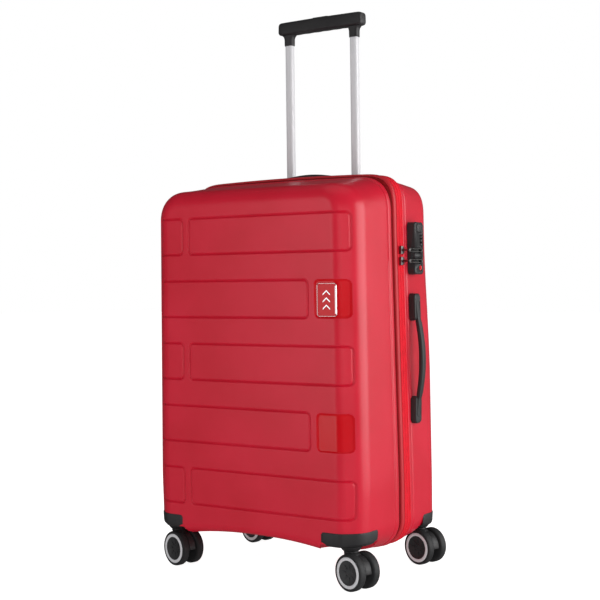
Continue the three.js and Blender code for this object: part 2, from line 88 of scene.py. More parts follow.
ROWS = [(540.5, 604.8), (433.5, 497.8), (326.5, 390.8), (219.5, 283.8), (112.5, 176.8)]
OUTER_EDGE, SMALL_EDGE, WIDE_EDGE = 200.0, 135.8, 124.8
PANEL_ROUND = 9.0
FINE = 0.8                  # spacing of the mesh lines along panel edges

STEM_X, STEM_Y = 179.7, 112.0
SWIVEL = math.radians(-14)
TRAIL = 14.0
WHEEL_RADIUS, WHEEL_OFFSET = 30.0, 15.5
WELL_RADIUS, WELL_ROOF = 50.4, 72.0


def case_box(node):
    """A CAD node's lowest and highest corner in case millimetres."""
    low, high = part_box(node)
    return (np.array(low) - ORIGIN) * 1000, (np.array(high) - ORIGIN) * 1000


def middle_and_half(node):
    """A CAD node's middle and half its size in case millimetres."""
    low, high = case_box(node)
    return (low + high) / 2, (high - low) / 2


def linear(red, green, blue):
    """A colour given as 0 to 255 screen values, as the renderer wants it."""
    parts = [value / 255 for value in (red, green, blue)]
    return [p / 12.92 if p <= 0.04045 else ((p + 0.055) / 1.055) ** 2.4 for p in parts] + [1.0]


# ---- shader groups ---------------------------------------------------------------------
def new_group(name, inputs, outputs):
    group = bpy.data.node_groups.new(name, "ShaderNodeTree")
    for label, kind, value in inputs:
        socket = group.interface.new_socket(label, in_out="INPUT", socket_type=kind)
        socket.default_value = value
    for label, kind in outputs:
        group.interface.new_socket(label, in_out="OUTPUT", socket_type=kind)
    return group, group.nodes.new("NodeGroupInput"), group.nodes.new("NodeGroupOutput")


def add_node(tree, kind, values=None, **settings):
    node = tree.nodes.new(kind)
    for key, value in settings.items():
        setattr(node, key, value)
    for key, value in (values or {}).items():
        node.inputs[key].default_value = value
    return node


def maths(tree, operation, first, second=None):
    node = tree.nodes.new("ShaderNodeMath")
    node.operation = operation
    for socket, value in zip(node.inputs, (first, second)):
        if isinstance(value, (int, float)):
            socket.default_value = value
        elif value is not None:
            tree.links.new(value, socket)
    return node.outputs[0]


def grain_group():
    """Moulded grain: a fine pebbled height and a slow drift in tone."""
    group, inlet, outlet = new_group(
        "moulded_grain",
        [("Grain Scale", "NodeSocketFloat", 900.0)],
        [("Height", "NodeSocketFloat"), ("Drift", "NodeSocketFloat")],
    )
    where = group.nodes.new("ShaderNodeTexCoord")
    pebbles = add_node(group, "ShaderNodeTexNoise", {"Detail": 2.0, "Roughness": 0.55})
    drift = add_node(group, "ShaderNodeTexNoise", {"Scale": 9.0, "Detail": 3.0, "Roughness": 0.5})
    for noise in (pebbles, drift):
        group.links.new(where.outputs["Object"], noise.inputs["Vector"])
    group.links.new(inlet.outputs["Grain Scale"], pebbles.inputs["Scale"])
    group.links.new(pebbles.outputs["Fac"], outlet.inputs["Height"])
    group.links.new(drift.outputs["Fac"], outlet.inputs["Drift"])
    return group


def weave_group():
    """Crossed threads over the mesh's own length and width, in threads to the metre. Its Shade
    output is painted shade in the hollows between threads, mixed with random tone.
    """
    group, inlet, outlet = new_group(
        "plain_weave",
        [("Threads", "NodeSocketFloat", 1500.0)],
        [("Height", "NodeSocketFloat"), ("Shade", "NodeSocketFloat")],
    )
    where = group.nodes.new("ShaderNodeTexCoord")
    split = group.nodes.new("ShaderNodeSeparateXYZ")
    group.links.new(where.outputs["UV"], split.inputs[0])
    waves = []
    for direction in ("X", "Y"):
        count = maths(group, "MULTIPLY", split.outputs[direction], inlet.outputs["Threads"])
        waves.append(maths(group, "SINE", maths(group, "MULTIPLY", count, math.pi)))
    over = maths(group, "MULTIPLY", *waves)
    height = maths(group, "ADD", maths(group, "MULTIPLY", over, 0.5), 0.5)
    noise = add_node(group, "ShaderNodeTexNoise", {"Scale": 60.0, "Detail": 3.0})
    group.links.new(where.outputs["Object"], noise.inputs["Vector"])
    # painted shade where the weave is low between threads, plus random tone from noise
    shade = maths(group, "MULTIPLY", maths(group, "ADD", height, noise.outputs["Fac"]), 0.5)
    group.links.new(height, outlet.inputs["Height"])
    group.links.new(shade, outlet.inputs["Shade"])
    return group


def brushed_group():
    """Long fine draw lines running up a metal part."""
    group, inlet, outlet = new_group(
        "drawn_lines",
        [("Line Scale", "NodeSocketFloat", 1200.0)],
        [("Height", "NodeSocketFloat")],
    )
    where = group.nodes.new("ShaderNodeTexCoord")
    stretch = add_node(group, "ShaderNodeMapping", {"Scale": (1.0, 1.0, 0.02)})
    noise = add_node(group, "ShaderNodeTexNoise", {"Detail": 2.0})
    group.links.new(where.outputs["Object"], stretch.inputs["Vector"])
    group.links.new(stretch.outputs["Vector"], noise.inputs["Vector"])
    group.links.new(inlet.outputs["Line Scale"], noise.inputs["Scale"])
    group.links.new(noise.outputs["Fac"], outlet.inputs["Height"])
    return group


GRAIN = grain_group()
WEAVE = weave_group()
DRAWN = brushed_group()


def start_material(name, roughness, metallic=0.0, **shader_values):
    material = bpy.data.materials.new(name)
    material.use_nodes = True
    shader = material.node_tree.nodes["Principled BSDF"]
    shader.inputs["Roughness"].default_value = roughness
    shader.inputs["Metallic"].default_value = metallic
    for label, value in shader_values.items():
        shader.inputs[label.replace("_", " ")].default_value = value
    return material, material.node_tree, shader


def use_group(tree, group, **values):
    node = tree.nodes.new("ShaderNodeGroup")
    node.node_tree = group
    for label, value in values.items():
        node.inputs[label.replace("_", " ")].default_value = value
    return node


def colour_from(tree, shader, factor, dark, light, low=0.35, high=0.65):
    ramp = tree.nodes.new("ShaderNodeValToRGB")
    for stop, position, colour in zip(ramp.color_ramp.elements, (low, high), (dark, light)):
        stop.position = position
        stop.color = linear(*colour)
    tree.links.new(factor, ramp.inputs[0])
    tree.links.new(ramp.outputs[0], shader.inputs["Base Color"])


def bump_from(tree, shader, height, strength, distance):
    bump = add_node(tree, "ShaderNodeBump", {"Strength": strength, "Distance": distance})
    tree.links.new(height, bump.inputs["Height"])
    tree.links.new(bump.outputs[0], shader.inputs["Normal"])


def graded(tree, source, to_low, to_high, from_low=0.0, from_high=1.0):
    """A value carried from one range to another."""
    node = add_node(tree, "ShaderNodeMapRange", {"From Min": from_low, "From Max": from_high,
                                                 "To Min": to_low, "To Max": to_high})
    tree.links.new(source, node.inputs["Value"])
    return node.outputs[0]


def rough_from(tree, shader, factor, low, high):
    tree.links.new(graded(tree, factor, low, high), shader.inputs["Roughness"])


def moulded(name, dark, light, rough, grain_scale, bump, **shader_values):
    """Moulded plastic or rubber: grain, a slow drift in tone and in shine."""
    material, tree, shader = start_material(name, rough[0], **shader_values)
    grain = use_group(tree, GRAIN, Grain_Scale=grain_scale)
    colour_from(tree, shader, grain.outputs["Drift"], dark, light)
    rough_from(tree, shader, grain.outputs["Drift"], *rough)
    bump_from(tree, shader, grain.outputs["Height"], bump, 0.0003)
    return material


def woven(name, dark, light, threads, rough=0.8, bump=0.5, **shader_values):
    material, tree, shader = start_material(name, rough, **shader_values)
    weave = use_group(tree, WEAVE, Threads=threads)
    # the cloth's tone carries painted shade in the hollows of its weave as well as random tone
    colour_from(tree, shader, weave.outputs["Shade"], dark, light, 0.3, 0.7)
    bump_from(tree, shader, weave.outputs["Height"], bump, 0.0004)
    return material


def drawn_metal(name, dark, light, rough, line_scale=1200.0, bump=0.15, metallic=1.0):
    material, tree, shader = start_material(name, rough, metallic)
    lines = use_group(tree, DRAWN, Line_Scale=line_scale)
    colour_from(tree, shader, lines.outputs["Height"], dark, light)
    rough_from(tree, shader, lines.outputs["Height"], rough - 0.05, rough + 0.07)
    bump_from(tree, shader, lines.outputs["Height"], bump, 0.0001)
    return material


RED_SHELL = moulded("red_shell", (189, 17, 40), (197, 20, 46), (0.29, 0.35), 1500.0, 0.16)
RED_GLOSS = moulded("red_gloss", (186, 8, 20), (190, 10, 24), (0.16, 0.22), 500.0, 0.01,
                    Coat_Weight=0.12, Specular_IOR_Level=0.3)
RED_BAND = moulded("red_band", (172, 14, 28), (184, 18, 34), (0.45, 0.55), 1900.0, 0.2)
KEY_RED = moulded("key_red", (196, 16, 26), (214, 24, 34), (0.25, 0.35), 900.0, 0.1)
BLACK = moulded("black_plastic", (35, 34, 35), (45, 44, 45), (0.42, 0.54), 1300.0, 0.35)
BLACK_DEEP = moulded("black_deep", (14, 14, 15), (22, 22, 23), (0.5, 0.62), 900.0, 0.3)
RUBBER = moulded("wheel_rubber", (30, 30, 31), (42, 42, 43), (0.55, 0.68), 1100.0, 0.3)
HUB = moulded("hub_plastic", (38, 38, 39), (58, 58, 59), (0.5, 0.65), 420.0, 0.4)
DIGIT_PAINT = moulded("digit_paint", (124, 124, 122), (138, 138, 135), (0.5, 0.6), 1500.0, 0.1)
ZIP_TAPE = woven("zip_tape", (186, 8, 26), (228, 18, 42), 1400.0, 0.62, Specular_IOR_Level=0.2)
# The expander zip's dark red is painted shade: it stands for the shadow in the recessed gap
# between the lid rim and the soft band.
SHADED_GAP_ZIP = woven("dark_zip", (96, 3, 6), (132, 6, 12), 1100.0, Specular_IOR_Level=0.15)
LINING = woven("lining", (38, 40, 46), (62, 65, 72), 900.0, 0.75, 0.4)
WEBBING = woven("webbing", (26, 27, 30), (58, 60, 64), 600.0, 0.7, 0.8)
HINGE_CLOTH = woven("hinge_cloth", (120, 8, 20), (158, 14, 30), 900.0, 0.8, 0.7)
SATIN = drawn_metal("satin_aluminium", (208, 208, 210), (218, 218, 220), 0.50, metallic=0.2)
STEEL = drawn_metal("steel", (112, 110, 109), (146, 144, 142), 0.30, 700.0)
CHROME = drawn_metal("emblem_chrome", (226, 226, 228), (240, 240, 242), 0.14, 500.0, 0.03)


# ---- mesh helpers ----------------------------------------------------------------------
def added(name, data):
    """A new object, linked to the scene."""
    thing = bpy.data.objects.new(name, data)
    bpy.context.scene.collection.objects.link(thing)
    return thing


def round_edges(work, least_turn, width, segments):
    """Bevels each edge that turns by more than the least angle."""
    hard = [e for e in work.edges
            if e.is_manifold and e.calc_face_angle(0) > math.radians(least_turn)]
    bmesh.ops.bevel(work, geom=hard, offset=width / 1000, segments=segments, profile=0.5,
                    affect="EDGES", clamp_overlap=True)


def shade(work, mesh, sharp):
    """Writes the worked mesh back, smooth but for edges sharper than the given angle."""
    for face in work.faces:
        face.smooth = True
    work.to_mesh(mesh)
    work.free()
    mesh.set_sharp_from_angle(angle=math.radians(sharp))


def build(name, points, faces, finish, bevel=0.0, sharp=42, face_finish=None, uvs=None):
    """A smooth-shaded piece from case millimetres, its hard edges rounded by bevel."""
    mesh = bpy.data.meshes.new(name)
    mesh.from_pydata((np.asarray(points, float) / 1000 + ORIGIN).tolist(), [],
                     [tuple(int(i) for i in face) for face in faces])
    for material in finish if isinstance(finish, (list, tuple)) else [finish]:
        mesh.materials.append(material)
    work = bmesh.new()
    work.from_mesh(mesh)
    work.faces.ensure_lookup_table()
    if face_finish is not None:
        for face, index in zip(work.faces, face_finish):
            face.material_index = int(index)
    if uvs is not None:
        layer = work.loops.layers.uv.new("UVMap")
        for face in work.faces:
            for loop in face.loops:
                loop[layer].uv = uvs[loop.vert.index]
    bmesh.ops.remove_doubles(work, verts=work.verts, dist=2e-5)
    bmesh.ops.recalc_face_normals(work, faces=work.faces)
    if bevel:
        round_edges(work, 28, bevel, 3)
    shade(work, mesh, sharp)
    return added(name, mesh)


def place(piece, slot, *nodes, body=None):
    """Rides a piece on the given body, or on the body of the nodes that it stands for."""
    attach(piece, body or BODY_OF[nodes[0]])
    if nodes:
        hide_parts(*nodes)
    return piece


def modified(piece):
    """Applies a piece's modifiers to its mesh."""
    graph = bpy.context.evaluated_depsgraph_get()
    mesh = bpy.data.meshes.new_from_object(piece.evaluated_get(graph))
    piece.modifiers.clear()
    piece.data = mesh
    return piece


def cut(piece, *cutters):
    """Takes the cutters out of a piece and throws them away."""
    for cutter in cutters:
        modifier = piece.modifiers.new("cut", "BOOLEAN")
        modifier.operation = "DIFFERENCE"
        modifier.solver = "EXACT"
        modifier.object = cutter
    modified(piece)
    for cutter in cutters:
        bpy.data.objects.remove(cutter)
    return piece


def soften(piece, width):
    """Rounds the hard edges that cutting left."""
    work = bmesh.new()
    work.from_mesh(piece.data)
    round_edges(work, 35, width, 2)
    shade(work, piece.data, 42)
    return piece


def thicken(piece, thickness, offset=0.0):
    """Gives a sheet its thickness, about its middle unless offset says otherwise."""
    wall = piece.modifiers.new("wall", "SOLIDIFY")
    wall.thickness = thickness / 1000
    wall.offset = offset
    return modified(piece)


def gather(*parts):
    """Several (points, faces, finish index) parts as one mesh's points, faces and finishes."""
    points, faces, finishes, start = [], [], [], 0
    for part_points, part_faces, index in parts:
        points.append(np.asarray(part_points, float))
        faces += [tuple(start + i for i in face) for face in part_faces]
        finishes += list(index) if hasattr(index, "__len__") else [index] * len(part_faces)
        start += len(part_points)
    return np.concatenate(points), faces, finishes


def fillet(points, radii, steps=10):
    """A polyline with each inner corner turned on its own radius."""
    line = [np.array(points[0], float)]
    for before, at, after, radius in zip(points, points[1:], points[2:], radii):
        corner = np.array(at, float)
        back = np.array(before, float) - corner
        ahead = np.array(after, float) - corner
        back /= np.linalg.norm(back)
        ahead /= np.linalg.norm(ahead)
        half = math.acos(float(np.clip(back @ ahead, -1, 1))) / 2
        middle = back + ahead
        centre = corner + middle / np.linalg.norm(middle) * radius / math.sin(half)
        reach = radius / math.tan(half)
        first = corner + back * reach - centre
        last = corner + ahead * reach - centre
        start = math.atan2(first[1], first[0])
        turn = (math.atan2(last[1], last[0]) - start + math.pi) % (2 * math.pi) - math.pi
        for i in range(steps + 1):
            angle = start + turn * i / steps
            line.append(centre + radius * np.array([math.cos(angle), math.sin(angle)]))
    line.append(np.array(points[-1], float))
    return np.array(line)


def rounded_outline(half_wide, half_high, radius, steps=6):
    """Points round a rectangle with rounded corners, centred on nought."""
    points = []
    for quarter, (su, sv) in enumerate(((1, 1), (-1, 1), (-1, -1), (1, -1))):
        for i in range(steps + 1):
            angle = math.pi / 2 * (quarter + i / steps)
            points.append((su * (half_wide - radius) + radius * math.cos(angle),
                           sv * (half_high - radius) + radius * math.sin(angle)))
    return np.array(points)


def loft(rings, caps=True, closed=False):
    """Faces between rings of the same number of points."""
    count = len(rings[0])
    faces = []
    spans = len(rings) if closed else len(rings) - 1
    for i in range(spans):
        here, there = i * count, (i + 1) % len(rings) * count
        for j in range(count):
            k = (j + 1) % count
            faces.append((here + j, here + k, there + k, there + j))
    if caps and not closed:
        faces.append(tuple(reversed(range(count))))
        faces.append(tuple(range((len(rings) - 1) * count, len(rings) * count)))
    return np.concatenate(rings), faces


def upright(x, y):
    """Frame of an outline that lies level; like every frame it turns (u, v, w) to case."""
    return lambda u, v, w: (x + u, y + v, w)


def sideways(y, z):
    """Frame of an outline that faces along the width of the case."""
    return lambda u, v, w: (w, y + u, z + v)


def ring_at(outline, w, frame_of):
    return np.array([frame_of(u, v, w) for u, v in outline])


def prism(outline, low, high, frame_of):
    """An outline in two directions, drawn out in the third."""
    return loft([ring_at(outline, w, frame_of) for w in (low, high)])


def cutter(outline, low, high, frame_of):
    return build("cutter", *prism(outline, low, high, frame_of), BLACK_DEEP)


def lengths(points):
    """Length run so far at each point of a line."""
    steps = np.linalg.norm(np.diff(points, axis=0), axis=-1)
    return np.concatenate([[0], np.cumsum(steps)])


def right_of(steps):
    """Unit normals on the right of each step of a line."""
    normal = np.stack([steps[:, 1], -steps[:, 0]], axis=1)
    return normal / np.linalg.norm(normal, axis=1, keepdims=True)


def lathe(profile, frame_of, turns=56):
    """A (radius, along) profile turned about its axis; also gives each face's profile step."""
    points, faces, steps = [], [], []
    count = len(profile)
    for i in range(turns):
        angle = 2 * math.pi * i / turns
        for radius, along in profile:
            points.append(frame_of(radius * math.cos(angle), radius * math.sin(angle), along))
    for i in range(turns):
        here, there = i * count, (i + 1) % turns * count
        for j in range(count - 1):
            faces.append((here + j, here + j + 1, there + j + 1, there + j))
            steps.append(j)
    return np.array(points), faces, steps


# ---- outline of the case, crown and taper ----------------------------------------------
def smooth(t):
    t = np.clip(t, 0.0, 1.0)
    return t * t * (3 - 2 * t)


def width_at(y, z):
    tuck = np.interp(y, *FOOT_TUCK) * smooth((170 - z) / 90)
    return (1 - TAPER * (z - MID_HEIGHT)) * (1 - tuck)


def shaped(points):
    """Gives case points their squarer top corners, the slight taper, the lean of the zip line
    and the crown of the soft band over the top."""
    points = np.array(points, float)
    x, y, z = points.T
    over_x = np.maximum(np.abs(x) - CORNER_X, 0)
    over_z = np.maximum(z - CORNER_TOP, 0)
    away = np.maximum(np.hypot(over_x, over_z), 1e-6)
    power = np.interp(y, *SQUARENESS)
    grow = ((over_x / away) ** power + (over_z / away) ** power + 1e-12) ** (-1 / power)
    at_corner = (over_x > 0) & (over_z > 0)
    x = np.where(at_corner, np.sign(x) * (CORNER_X + over_x * grow), x)
    z = np.where(at_corner, CORNER_TOP + over_z * grow, z)
    x = x * width_at(y, z)
    x = x * (1 - UPPER_BACK * smooth((z - 330) / 240) * smooth((y - 15) / 85))
    points[:, 0] = x
    by_zip = 1 - smooth((np.abs(y) - 30) / 30)
    points[:, 1] = y + ZIP_LEAN * np.clip(560 - z, 0, 520) * by_zip
    bow = CROWN * (1 - 0.4 * np.clip(x / 180, -1, 1) ** 2)
    on_top = np.clip((z - CORNER_TOP) / ROUND_TOP, 0, 1.2) ** 2
    points[:, 2] = z + bow * np.interp(y, *CROWN_ALONG) * on_top
    return points


def outline_stations():
    """Stations round the case: corner centre x and z, cosine, sine and the two radii."""
    per_corner, per_side = 18, 26
    corners = [(1, 1), (-1, 1), (-1, -1), (1, -1)]
    stations = []
    for index, (sx, sz) in enumerate(corners):
        start = index * 90
        rz = ROUND_TOP if sz > 0 else ROUND_BOTTOM
        cz = CORNER_TOP if sz > 0 else CORNER_BOTTOM
        for i in range(per_corner + 1):
            angle = math.radians(start + 90 * i / per_corner)
            stations.append((sx * CORNER_X, cz, math.cos(angle), math.sin(angle), ROUND_SIDE, rz))
        nx, nz = corners[(index + 1) % 4]
        next_z = CORNER_TOP if nz > 0 else CORNER_BOTTOM
        angle = math.radians(start + 90)
        for i in range(1, per_side):
            t = i / per_side
            stations.append((sx * CORNER_X + t * (nx - sx) * CORNER_X, cz + t * (next_z - cz),
                             math.cos(angle), math.sin(angle), ROUND_SIDE, rz))
    return np.array(stations)


STATIONS = outline_stations()


def on_outline(outset, y):
    cx, cz, cosine, sine, rx, rz = STATIONS.T
    return np.stack([cx + (rx + outset) * cosine, np.full(len(cx), float(y)),
                     cz + (rz + outset) * sine], axis=1)


def sweep_ring(name, section, finish):
    """A (outset, y) section carried all round the case outline, with a cloth layout."""
    loops = [on_outline(outset, y) for outset, y in section]
    loops = [np.concatenate([loop, loop[:1]]) for loop in loops]
    run = lengths(loops[0])
    count = len(run)
    points, uvs = [], []
    for loop, v in zip(loops, lengths(np.array(section))):
        points.append(shaped(loop))
        uvs += [(u / 1000, v / 1000) for u in run]
    faces = []
    for j in range(len(section)):
        here, there = j * count, (j + 1) % len(section) * count
        faces += [(here + i, here + i + 1, there + i + 1, there + i) for i in range(count - 1)]
    return build(name, np.concatenate(points), faces, finish, sharp=50, uvs=uvs)


# ---- moulded halves --------------------------------------------------------------------
class Run:
    """The section from a big face round its edge and down to the rim, as (out, depth).
    0 to 1 runs down to the knee depth, 1 to 2 straight on to the rim."""

    def __init__(self, points, radii, knee=KNEE):
        self.line = fillet(points, radii)
        self.length = lengths(self.line)
        self.knee = float(np.interp(knee, self.line[:, 1], self.length))
        self.depth = float(self.line[-1, 1] - knee)

    def at(self, u):
        rest = self.length[-1] - self.knee
        reach = np.where(u <= 1, u * self.knee, self.knee + (u - 1) * rest)
        return (np.interp(reach, self.length, self.line[:, 0]),
                np.interp(reach, self.length, self.line[:, 1]))

    def u_of_out(self, out):
        return float(np.interp(out, self.line[:, 0], self.length)) / self.knee


def spaced(lines, least):
    """Sorted lines with any that crowd the one before taken out, the last one kept."""
    lines = sorted(lines)
    kept = [lines[0]]
    for line in lines[1:-1]:
        if line - kept[-1] > least and lines[-1] - line > least:
            kept.append(line)
    return kept + [lines[-1]]


def near(edges):
    """Close lines about each edge; an edge is (position, direction into its panel)."""
    return [at + inward * d for at, inward in edges for d in np.arange(-3.2, 10.6, FINE)]


def edge_lines(run, edges, coarse):
    fine = [run.u_of_out(out) for out in near(edges) if 0 < out < 54]
    around = list(np.arange(0, 1, coarse / run.knee))
    wall = list(np.arange(1, 2, 4.0 / run.depth))
    rim = [2 - d / run.depth for d in np.arange(0, 14, 1.0)]
    return spaced([0.0, 2.0, *fine, *around, *wall, *rim], 0.55 / run.knee)


def axis_lines(low, high, edges, run_low, run_high, coarse, round_step):
    """Mesh lines along one axis as (middle position, run parameter, side) rows."""
    inner = [p for p in near(edges) if low < p < high]
    inner = spaced([low, high, *inner, *np.arange(low, high, coarse)], FINE * 0.6)
    before = edge_lines(run_low, [(low - at, -way) for at, way in edges], round_step)
    after = edge_lines(run_high, [(at - high, way) for at, way in edges], round_step)
    rows = [(low, u, -1) for u in reversed(before[1:])]
    rows += [(p, 0.0, -1 if p < (low + high) / 2 else 1) for p in inner]
    rows += [(high, u, 1) for u in after[1:]]
    return np.array(rows)


def skin(x_rows, z_rows, side, top, bottom, face_y, way):
    """Points of half a case over the grid of lines; way is -1 for the lid, 1 for the base."""
    cx, ux, sx = (a[:, None] for a in x_rows.T)
    cz, uz, sz = (a[None, :] for a in z_rows.T)
    u = np.maximum(ux, uz)
    safe = np.where(u > 0, u, 1.0)
    turn = np.where(ux >= uz, 0.5 * uz / safe, 1 - 0.5 * ux / safe) * math.pi / 2
    cosine, sine = np.cos(turn), np.sin(turn)
    side_out, side_deep = side.at(u)
    end_out = np.where(sz > 0, top.at(u)[0], bottom.at(u)[0])
    end_deep = np.where(sz > 0, top.at(u)[1], bottom.at(u)[1])
    out = side_out * cosine ** 2 + end_out * sine ** 2
    deep = side_deep * cosine ** 2 + end_deep * sine ** 2
    x = cx + sx * out * cosine * (u > 0)
    z = cz + sz * out * sine * (u > 0)
    return np.stack([x, face_y - way * deep, z], axis=-1), deep


def normals_of(grid):
    across = np.gradient(grid, axis=0)
    along = np.gradient(grid, axis=1)
    normal = np.cross(along, across)
    normal /= np.maximum(np.linalg.norm(normal, axis=-1, keepdims=True), 1e-9)
    return normal


def to_panel(x, z, x0, x1, z0, z1):
    """Distance outside (+) or inside (-) a panel with rounded corners."""
    across = np.abs(x - (x0 + x1) / 2) - (x1 - x0) / 2 + PANEL_ROUND
    up = np.abs(z - (z0 + z1) / 2) - (z1 - z0) / 2 + PANEL_ROUND
    outside = np.hypot(np.maximum(across, 0), np.maximum(up, 0))
    return outside + np.minimum(np.maximum(across, up), 0) - PANEL_ROUND


def panels():
    """(x0, x1, z0, z1, square) for every panel, brick fashion from row to row."""
    rows = []
    for index, (z0, z1) in enumerate(ROWS):
        if index % 2 == 0:
            rows.append((-OUTER_EDGE, -SMALL_EDGE, z0, z1, False))
            rows.append((-WIDE_EDGE, OUTER_EDGE, z0, z1, False))
        else:
            rows.append((-OUTER_EDGE, WIDE_EDGE, z0, z1, False))
            rows.append((SMALL_EDGE, OUTER_EDGE, z0, z1, True))
    return rows


def hollow(distance, half_width):
    return np.clip(1 - (distance / half_width) ** 2, 0, 1) ** 2


def relief(grid, glossy):
    """How far each point is pressed in by panel grooves and sunk squares, and the gloss mask."""
    x, z = grid[..., 0], grid[..., 2]
    press = np.zeros(x.shape)
    gloss = np.zeros(x.shape, bool)
    for x0, x1, z0, z1, square in panels():
        distance = to_panel(x, z, x0, x1, z0, z1)
        if square and glossy:
            press = np.maximum(press, 2.3 * smooth((-distance - 0.2) / 3.6))
            gloss |= distance < -0.6
        else:
            press = np.maximum(press, 2.4 * hollow(distance + 1.5, 2.5))
            press = np.maximum(press, 0.35 * smooth(-distance / 3.0))
    return press, gloss


def arch(points, deep):
    """Lifts the foot of a half between its castors."""
    x, z = points[..., 0], points[..., 2]
    lift = 13.0 * np.clip(1 - (np.abs(x) / 150) ** 2.2, 0, 1)
    fade = 1 - smooth((deep - 45) / 74)
    points[..., 2] = z + lift * fade * np.clip((CORNER_BOTTOM - z) / 40, 0, 1)
    return points


def raise_wells(points, way, radius=WELL_RADIUS, roof=WELL_ROOF):
    """Presses the castor pockets up into the foot of a half."""
    away = np.hypot(np.abs(points[..., 0]) - STEM_X, points[..., 1] - way * STEM_Y)
    ceiling = roof - np.maximum(away - radius + 1.6, 0) * 11
    points[..., 2] = np.where(away < radius + 2.4, np.maximum(points[..., 2], ceiling),
                              points[..., 2])
    return points


def grid_faces(rows, columns, keep=None):
    faces = []
    for i in range(rows - 1):
        for j in range(columns - 1):
            if keep is None or keep[i, j]:
                here = i * columns + j
                faces.append((here, here + columns, here + columns + 1, here + 1))
    return faces


def half_case(name, face_y, rim_y, way, glossy, hole=None):
    depth = abs(face_y - rim_y)
    side = Run([(0, 0), SIDE_SHOULDER, SIDE_KNEE, (60, depth)], [28, 36])
    top_edge, top_rim = (45, 58.6) if way < 0 else (51, 59.5)
    top = Run([(0, 0), (top_edge, 0), (top_rim, depth)], [30])
    bottom = Run([(0, 0), (35.5, 0), (50, depth)], [20])
    x_edges = [(-OUTER_EDGE, 1), (-SMALL_EDGE, -1), (-WIDE_EDGE, 1),
               (WIDE_EDGE, -1), (SMALL_EDGE, 1), (OUTER_EDGE, -1)]
    z_edges = [(z0, 1) for z0, _ in ROWS] + [(z1, -1) for _, z1 in ROWS]
    x_rows = axis_lines(-CORNER_X, CORNER_X, x_edges, side, side, 7.0, 2.6)
    z_rows = axis_lines(CORNER_BOTTOM, CORNER_TOP, z_edges, bottom, top, 9.0, 2.6)
    grid, deep = skin(x_rows, z_rows, side, top, bottom, face_y, way)
    grid = arch(grid, deep)
    outward = normals_of(grid)
    if outward[outward.shape[0] // 2, outward.shape[1] // 2, 1] * way < 0:
        outward = -outward
    press, gloss = relief(grid, glossy)
    from_rim = depth - deep
    bead = 0.7 * np.clip(1 - ((from_rim - 4.4) / 5.0) ** 4, 0, 1)
    press = press + 1.1 * hollow(from_rim - 10.4, 2.0) - bead
    grid = grid - outward * press[..., None]
    grid = raise_wells(grid, way)
    rows, columns = grid.shape[:2]
    keep = np.ones((rows - 1, columns - 1), bool)
    if hole is not None:
        inside = hole(grid[..., 0], grid[..., 1], grid[..., 2])
        keep = ~(inside[:-1, :-1] & inside[1:, 1:] & inside[:-1, 1:] & inside[1:, :-1])
    faces = grid_faces(rows, columns, keep)
    finishes = (gloss[:-1, :-1] & gloss[1:, 1:])[keep].astype(int)
    points = shaped(grid.reshape(-1, 3))
    piece = build(name, points, faces, [RED_SHELL, RED_GLOSS], sharp=48, face_finish=finishes)
    return thicken(piece, WALL, -1.0)


def cup_hole(x, y, z):
    low, high = case_box("trolley_cup")
    inset = 3.4
    return ((x > low[0] + inset) & (x < high[0] - inset) & (y > low[1] + inset)
            & (y < high[1] - inset) & (z > CORNER_TOP))


def shells():
    lid = half_case("lid_shell", LID_FACE, LID_RIM, -1, True)
    place(lid, "red_shell", "front_shell")
    base = half_case("base_shell", BASE_FACE, BASE_RIM, 1, False, cup_hole)
    place(base, "red_shell", "back_shell")


def closure():
    """Lid frame, soft band, both zips and their tapes, all round the case."""
    band = [(-3.0, -15.0), (-0.4, -15.0), (0.7, -14.2), (1.5, -12.6), (1.9, -10.4),
            (1.6, -8.0), (0.9, -6.2), (-0.2, -5.0), (-3.0, -5.0)]
    gap = [(-3.1, -22.6), (-1.6, -22.6), (-1.4, -20.4), (-0.4, -19.6), (-0.4, -18.4),
           (-1.4, -17.6), (-1.6, -15.2), (-3.1, -15.2)]
    lid_tape = [(-3.0, -4.7), (0.7, -4.7), (1.0, -4.2), (1.0, 1.7), (0.7, 2.2), (0.1, 2.55),
                (-3.0, 2.55)]
    body_tape = [(-2.6, 3.05), (0.1, 3.05), (0.7, 3.4), (1.0, 3.9), (1.0, 9.4), (0.5, 9.9),
                 (0.9, 10.4), (1.6, 11.0), (1.8, 11.9), (1.6, 12.8), (0.9, 13.4), (-2.6, 13.6)]
    lid_frame = [(-6.0, -22.6), (-3.2, -22.6), (-3.2, 2.4), (-6.0, 2.4)]
    base_frame = [(-5.9, 3.2), (-2.9, 3.2), (-2.9, 24.0), (-5.9, 24.0)]
    for name, section, finish, slot, body, *nodes in (
            ("soft_band", band, RED_BAND, "red_band", "lid", "gusset_band"),
            ("lid_frame", lid_frame, RED_BAND, "red_band", "lid"),
            # the expander coil's dark red is painted shade of the gap it sits in
            ("expander_coil", gap, SHADED_GAP_ZIP, "dark_zip", "lid", "expander_zip"),
            ("lid_tape", lid_tape, ZIP_TAPE, "zip_tape", "lid", "lid_zip_tape"),
            ("body_tape", body_tape, ZIP_TAPE, "zip_tape", "case_base", "body_zip_tape"),
            ("base_frame", base_frame, RED_BAND, "red_band", "case_base")):
        place(sweep_ring(name, section, finish), slot, *nodes, body=body)


# ---- lining, divider, packing straps and hinge cloth -----------------------------------
LINING_FLOOR, LINING_RIM, LINING_GAP = 74.6, 26.0, 4.4
DIVIDER_Y = -29.4
BEND_X, BEND_BACK, BEND_FRONT = -213.0, 11.0, -13.0     # where the hinge cloth would bend; not used to bend it


def cloth_layout(grid):
    """Cloth coordinates in metres from the lengths along a grid's two middle lines."""
    rows, columns = grid.shape[:2]
    u = lengths(grid[:, columns // 2]) / 1000
    v = lengths(grid[rows // 2]) / 1000
    return [(a, b) for a in u for b in v]


